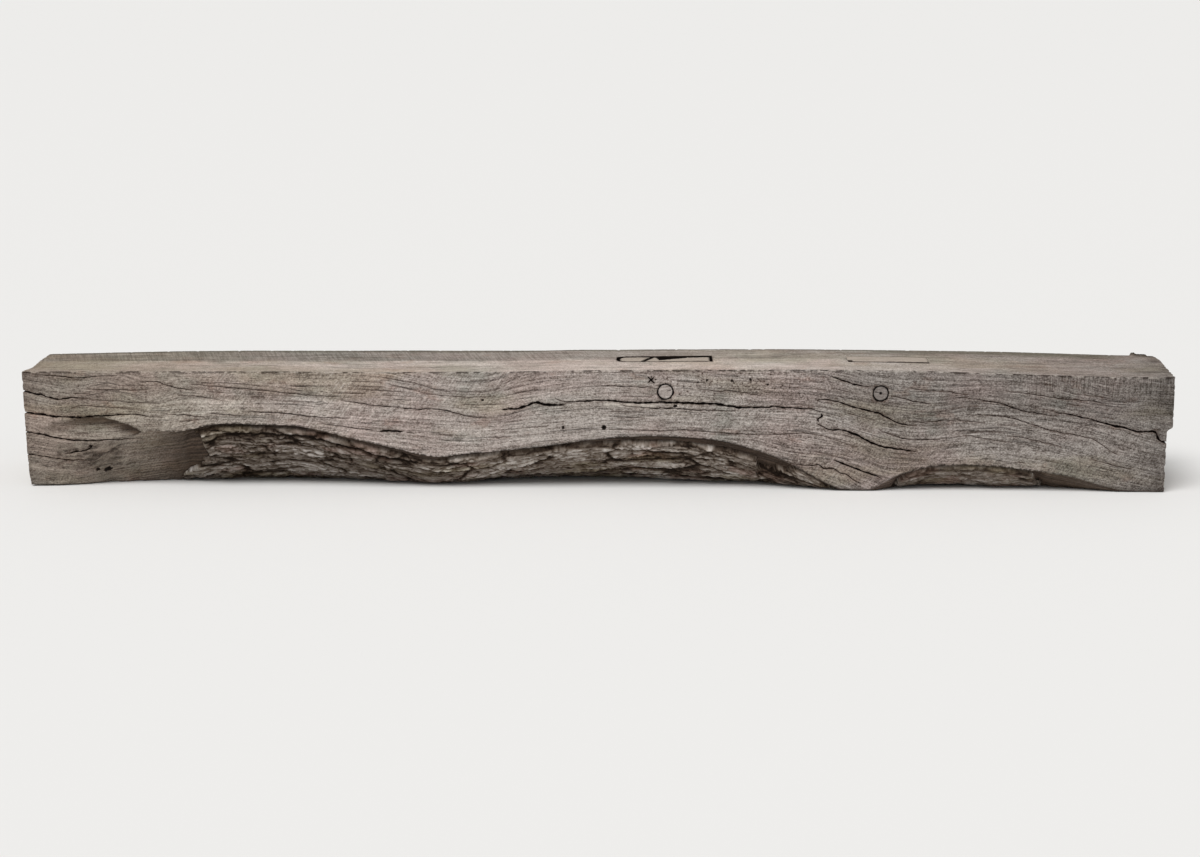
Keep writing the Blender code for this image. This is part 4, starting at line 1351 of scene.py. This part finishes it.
height = weighed(tree, (streaks, 0.8), (fibres, 0.7), (speckle, 0.35), (mottle, 0.5), (pores, -0.5),
                 (lines, -0.9), (nicks, -0.7), (kerf_dark, -0.3), (kerf_light, 0.2))
height = add(tree, 'ShaderNodeMix', {0: is_end, 2: height, 3: end_tone}).outputs[0]
finish_material(tree, shader, color, 0.88, height, 0.9, 0.0016)
beam.data.materials.append(oak)


# Bark: what is left of the log's skin, grown on the wane in two stretches.
# It stands about a centimetre off the wood in long flaky plates with dark furrows between
# them, and it ends ragged where the rest has fallen away.
BARK_STEP = 1.5 * MM
PLATE_LENGTH = 96 * MM
PLATE_WIDTH = 15 * MM

# Along the beam, width of bare wood between the face and the bark, in mm
LEFT_STRIP = ((-700, 7), (-600, 6), (-400, 7), (-300, 8), (-180, 7), (-60, 8), (40, 11), (180, 14),
              (240, 17), (260, 15), (320, 3), (380, 2))
RIGHT_STRIP = ((440, 4), (560, 3), (720, 4))

# The right end of the long bark was torn off along a slant that starts at this place
FLAP_FROM = 0.246

# A second, lower lip runs under the first where the outer bark has come loose
SEAM_ALONG = (-0.60, -0.27)
SEAM_BELOW = 10.5           # mm under the upper edge of the bark
SEAM_WIDTH = 1.9 * MM
SEAM_DEPTH = 3.4            # mm


def cells(places):
    """Cells at places: how far from the edge, how far over the middle, and each cell's chance."""
    rows = []
    for p in places.tolist():
        (one, two, _, _), (home, _, _, _) = noise.voronoi(p, distance_metric='DISTANCE')
        rows.append((two - one, p[1] - home[1], noise.cell(home * 7.3)))
    return np.array(rows).T


def bark_piece(name, u_from, u_to, strip, left_edge, right_edge, seed, rough=1.0, torn_flap=False):
    """Bark between two ragged ends; an edge is (share of the way down, place) in metres."""
    columns = np.linspace(u_from, u_to, int((u_to - u_from) / BARK_STEP) + 1)
    high, reach = wane_size(columns)
    chord = np.hypot(high, reach)
    bare = curve(strip, columns / MM)[:, 0] * MM
    bare += 2.5 * MM * ripple(columns_of(columns, 0, seed), (45, 1, 1), 3)
    bare = np.clip(bare, 1 * MM, 0.7 * chord)
    rows = int((chord - bare).max() / BARK_STEP) + 2
    share = np.linspace(0, 1, rows)
    run = bare[:, None] + (chord - bare)[:, None] * share[None]
    u = np.repeat(columns, rows)
    s = run.ravel()
    t = (run / chord[:, None]).ravel()
    past_strip = s - np.repeat(bare, rows)
    flatp = columns_of(u, s, seed)

    # plates, warped so that none is straight
    warp_a = ripple(flatp, (14, 40, 1)) * 0.50
    warp_b = ripple(flatp + 5.5, (8, 22, 1), 2) * 0.55
    plate = columns_of(u / PLATE_LENGTH + warp_a, s / PLATE_WIDTH + warp_b, seed)
    edge, lean, chance = cells(plate)
    flake, flake_lean, _ = cells(plate * (3.1, 2.7, 1) + warp_b[:, None] * (0.6, 0.9, 0))
    thin = step(0.0, 0.22, flake)
    firm = step(0.0, 0.15, edge)
    folds = np.abs(ripple(flatp + 2.2, (20, 120, 1), 3))
    crevice = step(0.13, 0.0, folds)
    flakes = 1 - 2.2 * np.abs(ripple(flatp + 8.1, (70, 270, 1), 2))
    crust = ripple(flatp, (130, 240, 1), 4)
    strands = ripple(flatp + 6.3, (16, 330, 1), 3)
    relief = (-3.2 + firm * (1.9 + 1.2 * chance) + 2.6 * np.clip(lean, -0.5, 0.5) * firm
              + thin * 0.8 + 1.3 * np.clip(flake_lean, -0.5, 0.5) * thin
              - 1.4 * crevice + 0.7 * flakes + 0.9 * crust + 1.3 * strands)
    relief = rough * relief + (1 - rough) * (1.6 * strands + 0.9 * crust - 0.6)
    lip_run = (SEAM_BELOW + 2.0 * ripple(flatp + 4.4, (12, 1, 1), 3)) * MM
    seam = np.exp(-((past_strip - lip_run) / SEAM_WIDTH) ** 2)
    seam *= torn_flap * stretch(*SEAM_ALONG, u)
    relief -= SEAM_DEPTH * seam
    crevice, firm = rough * crevice, 1 - rough * (1 - firm)

    # cliff along the bare strip, ragged ends, and the saw cut along the foot
    cover = step(0.0, 2.6 * MM, past_strip)
    tatter = ripple(flatp, (30, 60, 1), 4)
    left = curve(left_edge, t)[:, 0] + 10 * MM * tatter
    flap_top = 0.47 - 6.2 * (u - 0.247) + 0.25 * tatter
    right = curve(right_edge, t)[:, 0] + 10 * MM * tatter
    cover *= step(0.0, 4 * MM, u - left) * step(0.0, 4 * MM, right - u)
    off_flap = step(FLAP_FROM, FLAP_FROM + 4 * MM, u) * step(0.08, -0.02, t - flap_top) * torn_flap
    cover *= 1 - off_flap
    crest = 1.4 * MM * np.exp(-((past_strip - 5 * MM) / (5 * MM)) ** 2)
    hidden_out = -wood_sink(u, t) - 3.0 * MM
    shown_out = np.maximum(relief * MM + crest, 0.8 * MM - wood_sink(u, t))
    y, z = wane_point(u, t, cover * shown_out + (1 - cover) * hidden_out)
    y = np.maximum(y, FRONT + 0.8 * MM)
    z = np.maximum(z, 0.4 * MM)
    outer = columns_of(u + 0.5 * MM * ripple(flatp, (260, 260, 1)), y, z)

    # the outer skin, a flat back between its first and last rows, and the two ends
    faces = []
    wide = len(columns)
    for i in range(wide - 1):
        for j in range(rows - 1):
            a = i * rows + j
            b, c, d = a + 1, a + rows + 1, a + rows
            if (i + j) % 2:
                faces += [(a, b, c), (a, c, d)]
            else:
                faces += [(a, b, d), (b, c, d)]
    for i in range(wide - 1):
        a, b = i * rows, (i + 1) * rows
        faces.append((a, b, b + rows - 1, a + rows - 1))
    faces.append(tuple(range(rows)))
    faces.append(tuple(range(wide * rows - 1, (wide - 1) * rows - 1, -1)))

    # how pale each place is: darker in the furrows and crevices, partly the bark's own colour and
    # partly painted shade; painted shade in the seam and just under the ledge; a painted highlight on
    # the upper rims of the plates and painted shade on their lower rims. Then how near the upper edge
    # it lies, and how dry it is
    depth = np.clip((relief + 5.6) / 7.4, 0, 1) * (1 - 0.28 * crevice) * (0.55 + 0.45 * firm)
    depth *= (0.78 + 0.22 * thin) * (1 - 0.30 * np.clip(lean, -0.5, 0.5) - 0.25 * flake_lean)
    depth *= 0.55 + 0.45 * step(0.5 * MM, 5 * MM, past_strip)
    depth *= 1 - 0.6 * seam
    near_tear = step(FLAP_FROM, FLAP_FROM + 6 * MM, u) * step(0.25, 0.05, t - flap_top)
    depth *= 1 - 0.5 * near_tear * torn_flap
    high_up = np.exp(-(past_strip / (13 * MM)) ** 2)
    dry = 0.40 * step(-0.38, -0.20, u) * step(0.42, 0.38, u) + 0.18 * step(0.43, 0.45, u)
    looks = columns_of(depth, high_up, dry, 1)
    made = mesh_piece(name, outer, faces, (("relief", 'FLOAT_COLOR', looks),
                                           ("grain", 'FLOAT_VECTOR', flatp)))
    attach(made, "root")
    made.data.materials.append(bark)


# Old bark: dark brown in the furrows and weathered to a dusty grey crust on the plates,
# with a faint green where damp has stood.
bark, tree, shader = new_material("old oak bark", ior=1.4, specular=0.15)
relief_tone_and_shade, crest, dry = parts_of(tree, "relief")
bark_read = add(tree, 'ShaderNodeAttribute', attribute_name="grain").outputs["Vector"]
flake = pattern(tree, bark_read, (48, 520, 1), 5, 0.72)
dust = pattern(tree, bark_read, (45, 110, 1), 4, 0.65)
crust = pattern(tree, bark_read, (320, 520, 1), 3, 0.7)
# bits that face up are painted paler: dust, and a painted highlight
facing = add(tree, 'ShaderNodeNewGeometry').outputs["Normal"]
facing = add(tree, 'ShaderNodeSeparateXYZ', {0: facing}).outputs[2]
up_dust_and_highlight = between_values(tree, facing, -0.25, 0.65)
tone = weighed(tree, (relief_tone_and_shade, 0.62), (flake, 0.34), (dust, 0.22), (crust, 0.22), (crest, 0.03),
               (up_dust_and_highlight, 0.10))
color = add(tree, 'ShaderNodeValToRGB', {0: tone},
            stops=((0.53, "#221a14"), (0.63, "#473b32"), (0.73, "#6a5f55"), (0.85, "#8c8279"),
                   (1.00, "#c2bbb5"))).outputs[0]
color = dimmed(tree, color, between_values(tree, dry, 0.0, 1.0, 1.0, 1.7))
damp = patches(tree, bark_read, (9, 30, 1), 0.5, 0.65, 3, 0.5)
color = tint(tree, color, damp, 0.6, "#d6d0b2", 'MULTIPLY')
red = patches(tree, bark_read, (14, 40, 5), 0.53, 0.66, 3, 0.5)
color = tint(tree, color, red, 0.5, "#dcb9b0", 'MULTIPLY')
finish_material(tree, shader, color, 0.92, weighed(tree, (flake, 0.8), (crust, 0.5)), 1.0, 0.0028)

bark_piece(
    "long_bark", -0.690, 0.385, LEFT_STRIP,
    ((0, -0.640), (0.15, -0.632), (0.5, -0.616), (0.8, -0.655), (1, -0.662)),
    ((0, 0.352), (0.5, 0.356), (1, 0.368)), 1.5, torn_flap=True)
bark_piece(
    "short_bark", 0.455, 0.715, RIGHT_STRIP,
    ((0, 0.474), (1, 0.466)), ((0, 0.672), (0.5, 0.690), (1, 0.698)), 8.5, rough=0.5)


# Tenons: the sawn-off stubs of two posts or braces that were once framed into the beam.
# They are oak with the end grain up, cut level with the top, and have shrunk in their mortises.

# Tenon oak: pale end grain worn level with the top, with painted shade down the sides of the stub and
# round its rim, where it sinks into the mortise.
tenon_oak, tree, shader = new_material("worn tenon oak", ior=1.4, specular=0.2)
cut_read = add(tree, 'ShaderNodeAttribute', attribute_name="grain").outputs["Vector"]
shade = parts_of(tree, "marks")[0]
lamina = pattern(tree, cut_read, (22, 300, 20), 4, 0.6)
speck = pattern(tree, cut_read, (500, 500, 40), 3, 0.7)
tone = weighed(tree, (lamina, 0.55), (speck, 0.45))
color = add(tree, 'ShaderNodeValToRGB', {0: tone},
            stops=((0.34, "#83776c"), (0.48, "#a2968a"), (0.62, "#bcb0a4"))).outputs[0]
color = blend(tree, shade, color, linear("#2a211b"))
finish_material(tree, shader, color, 0.9, tone, 0.7, 0.001)


HEAD_STEP = 3.2 * MM


def plug(name, node, plan, seed, back_gap_shade=1.0):
    """A stub that fills a plan, seen from above, from the node's foot up to the beam's top.

    back_gap_shade is how much painted shade the gap at its back gets, and a stub with none sits flush
    there.
    """
    low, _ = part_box(node)
    layout = Skin()
    layout.line(plan, closed=True)
    inner = [(x, y) for x in np.arange(plan[:, 0].min(), plan[:, 0].max(), HEAD_STEP)
             for y in np.arange(plan[:, 1].min(), plan[:, 1].max(), HEAD_STEP)]
    inner = np.array(inner) + draw.uniform(-0.8, 0.8, (len(inner), 2)) * MM
    inner = inner[inside(plan, inner)]
    apart = np.hypot(*(inner[:, None] - plan[None]).transpose(2, 0, 1)).min(1)
    layout.points += inner[apart > 1.4 * MM].tolist()
    flat, faces = layout.triangles_in(plan)
    front_top, back_top = top_edges(flat[:, 0])
    across = (flat[:, 1] - FRONT) / DEPTH
    top = front_top + (back_top - front_top) * across**2 - (0.06 + 0.24 * back_gap_shade) * MM
    place = columns_of(flat, seed)
    top += (0.2 * ripple(place, (240, 240, 1)) + 0.2 * ripple(place, (40, 40, 1))) * MM
    count = len(flat)
    rim_ids = [int(np.argmin(np.hypot(*(flat - p).T))) for p in plan]
    top[rim_ids] -= 0.2 * MM * back_gap_shade
    heads = np.column_stack([flat, top])
    rings = [heads]
    faces = [tuple(f) for f in faces.tolist()]
    before = rim_ids
    for drop in (1 * MM, 16 * MM, math.inf):
        ring = heads[rim_ids].copy()
        ring[:, 2] = np.maximum(ring[:, 2] - drop, low.z)
        after = list(range(count, count + len(ring)))
        rings.append(ring)
        count += len(ring)
        for i in range(len(ring)):
            j = (i + 1) % len(ring)
            faces.append((before[i], after[i], after[j], before[j]))
        before = after
    faces.append(tuple(reversed(before)))
    solid = np.vstack(rings)
    # painted shade: the sides of the stub dark where they sink into the mortise, the rim of its top a
    # little less
    deep = np.concatenate([heads[:, 2] * 0]
                          + [np.full(len(plan), share) for share in (0.9, 1.0, 1.0)])
    deep[rim_ids] = 0.75 + 0.5 * ripple(heads[rim_ids], (150, 150, 1), 2)
    at_back = flat[rim_ids, 1] > flat[:, 1].min() + 15 * MM
    deep[rim_ids] *= np.where(at_back, back_gap_shade, 1.0)
    deep = np.clip(deep, 0, 1)
    looks = columns_of(deep, 0, 0, 1)
    made = mesh_piece(name, solid, faces, (("marks", 'FLOAT_COLOR', looks),
                                           ("grain", 'FLOAT_VECTOR', solid + (0, 0, seed))))
    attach(made, "root")
    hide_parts(node)
    made.data.materials.append(tenon_oak)


# The first stub has a round left end and a slanting split. Right of the split its back is
# notched. The second stub has a step cut out of its front left corner.
TENON_BACK_GAP = 9 * MM
SPLIT = 7 * MM
SPLIT_SLANT = 15 * MM
x0, x1, _ = MORTISES[0]
split_at = x0 + 0.30 * (x1 - x0)
front, back = MORTISE_FRONT + 6 * MM, MORTISE_BACK - TENON_BACK_GAP
whole = rounded_plan(x0 + 5.5 * MM, split_at, front, back, 15 * MM, 1 * MM, 3 * MM)
round_end = [tuple(p) for p in whole if p[0] < split_at - 18 * MM]
round_front = sorted((p for p in round_end if p[1] < (front + back) / 2), key=lambda p: p[0])
round_back = sorted((p for p in round_end if p[1] >= (front + back) / 2), key=lambda p: -p[0])
left_plan = filled(round_front + [(split_at - SPLIT_SLANT / 2, front),
                                  (split_at + SPLIT_SLANT / 2, back)] + round_back)
begin = split_at + SPLIT
notch = begin + SPLIT_SLANT / 2 + 4 * MM
right_plan = filled([(begin - SPLIT_SLANT / 2, front), (x1 - 4.4 * MM, front + 1 * MM),
                     (x1 - 4.4 * MM, back - 1 * MM),
                     (notch + 50 * MM, back - 3 * MM), (notch + 30 * MM, back - 14 * MM),
                     (notch + 4 * MM, back - 25 * MM), (notch, back - 4 * MM),
                     (begin + SPLIT_SLANT / 2, back)])
plug("tenon_stub_1_left", "tenon_1_left", ragged(left_plan, 0.5 * MM, 150, 1.0), 2.0)
plug("tenon_stub_1_right", "tenon_1_right", ragged(right_plan, 0.6 * MM, 150, 5.0), 6.0)
x0, x1, _ = MORTISES[1]
front, back = MORTISE_FRONT + 4.5 * MM, MORTISE_BACK - 0.1 * MM
plan = filled([(x0 + 0.2 * MM, front + 12 * MM), (x0 + 7 * MM, front + 12 * MM), (x0 + 7 * MM, front),
               (x0 + 0.45 * (x1 - x0), front), (x0 + 0.50 * (x1 - x0), front + 2.5 * MM),
               (x1 - 0.2 * MM, front + 3 * MM), (x1 - 0.2 * MM, back), (x0 + 0.2 * MM, back)])
plug("tenon_stub_2", "tenon_2", plan, 11.0, 0.0)


# Pegs: two round oak pegs, driven through the face to hold the tenons.
# Their ends are cut flush with the face and show end grain with a small heart check.

# Peg oak: grey end grain with close rings; soot, dust and painted shade darken the ring round each peg,
# its sides down the hole, its heart check and its pit.
peg_oak, tree, shader = new_material("peg oak", ior=1.4, specular=0.2)
peg_read = add(tree, 'ShaderNodeAttribute', attribute_name="grain").outputs["Vector"]
shade = parts_of(tree, "marks")[0]
speck = pattern(tree, peg_read, (420, 420, 1), 3, 0.7)
year = pattern(tree, peg_read, (60, 330, 1), 2, 0.5)
tone = weighed(tree, (speck, 0.5), (year, 0.5))
color = add(tree, 'ShaderNodeValToRGB', {0: tone},
            stops=((0.36, "#7c726c"), (0.5, "#a69c96"), (0.64, "#c9c0ba"))).outputs[0]
color = blend(tree, shade, color, linear("#1d1612"))
finish_material(tree, shader, color, 0.9, tone, 0.7, 0.001)

PEG_SIDES = 48
HEAD_SUNK = 0.6 * MM
HEAD_RINGS = (0.0, 0.12, 0.24, 0.36, 0.48, 0.6, 0.72, 0.84, 0.90)


def peg(name, node, pit, soiled, seed):
    """A round peg along the depth of the beam; pit is the radius of a hole in its head."""
    low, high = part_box(node)
    x, z = (low.x + high.x) / 2, (low.z + high.z) / 2
    radius = (high.x - low.x) / 2 - 0.2 * MM
    rings = [(radius * r, low.y + HEAD_SUNK) for r in HEAD_RINGS]
    rings += [(0.96 * radius, low.y + 1.2 * MM), (radius, low.y + 2.6 * MM), (radius, low.y + 6 * MM),
              (radius, high.y - 20 * MM), (radius * 0.72, high.y)]
    points, marks, grain = [], [], []
    for number, (r, y) in enumerate(rings):
        flush = number < len(HEAD_RINGS)
        for i in range(PEG_SIDES):
            a = 2 * math.pi * i / PEG_SIDES
            out = r * (1 + 0.022 * noise.noise((math.cos(a) * 1.4, math.sin(a) * 1.4, seed)))
            px, pz = x + out * math.cos(a), z + out * math.sin(a)
            check = abs(math.sin(a * 0.5 + seed)) < 0.035 and 0.15 < r / radius < 0.8
            dip = 1.6 * MM * check + 3.0 * MM * (r < pit)
            rough = 0.45 * MM * noise.noise((px * 300, pz * 300, seed)) if flush else 0.0
            points.append((px, y + (dip + rough if flush else 0.0), pz))
            # painted shade with soot: dark down the sides of the peg, in its heart check and in its pit
            marks.append((1.0 if check or r < pit else (soiled if flush else 0.8), 0, 0, 1))
            grain.append((px - x, pz - z, seed))
    faces = []
    for number in range(len(rings) - 1):
        for i in range(PEG_SIDES):
            a, b = number * PEG_SIDES + i, number * PEG_SIDES + (i + 1) % PEG_SIDES
            faces.append((a, b, b + PEG_SIDES, a + PEG_SIDES))
    last = (len(rings) - 1) * PEG_SIDES
    faces.append(tuple(range(last, last + PEG_SIDES)))
    made = mesh_piece(name, points, faces, (("marks", 'FLOAT_COLOR', marks),
                                            ("grain", 'FLOAT_VECTOR', grain)))
    cleaned = bmesh.new()
    cleaned.from_mesh(made.data)
    bmesh.ops.remove_doubles(cleaned, verts=cleaned.verts, dist=0.01 * MM)
    cleaned.to_mesh(made.data)
    cleaned.free()
    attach(made, "root")
    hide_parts(node)
    made.data.materials.append(peg_oak)


peg("peg_head_1", "peg_1", 0.0, 0.0, 3.0)
peg("peg_head_2", "peg_2", 2.6 * MM, 0.42, 8.0)
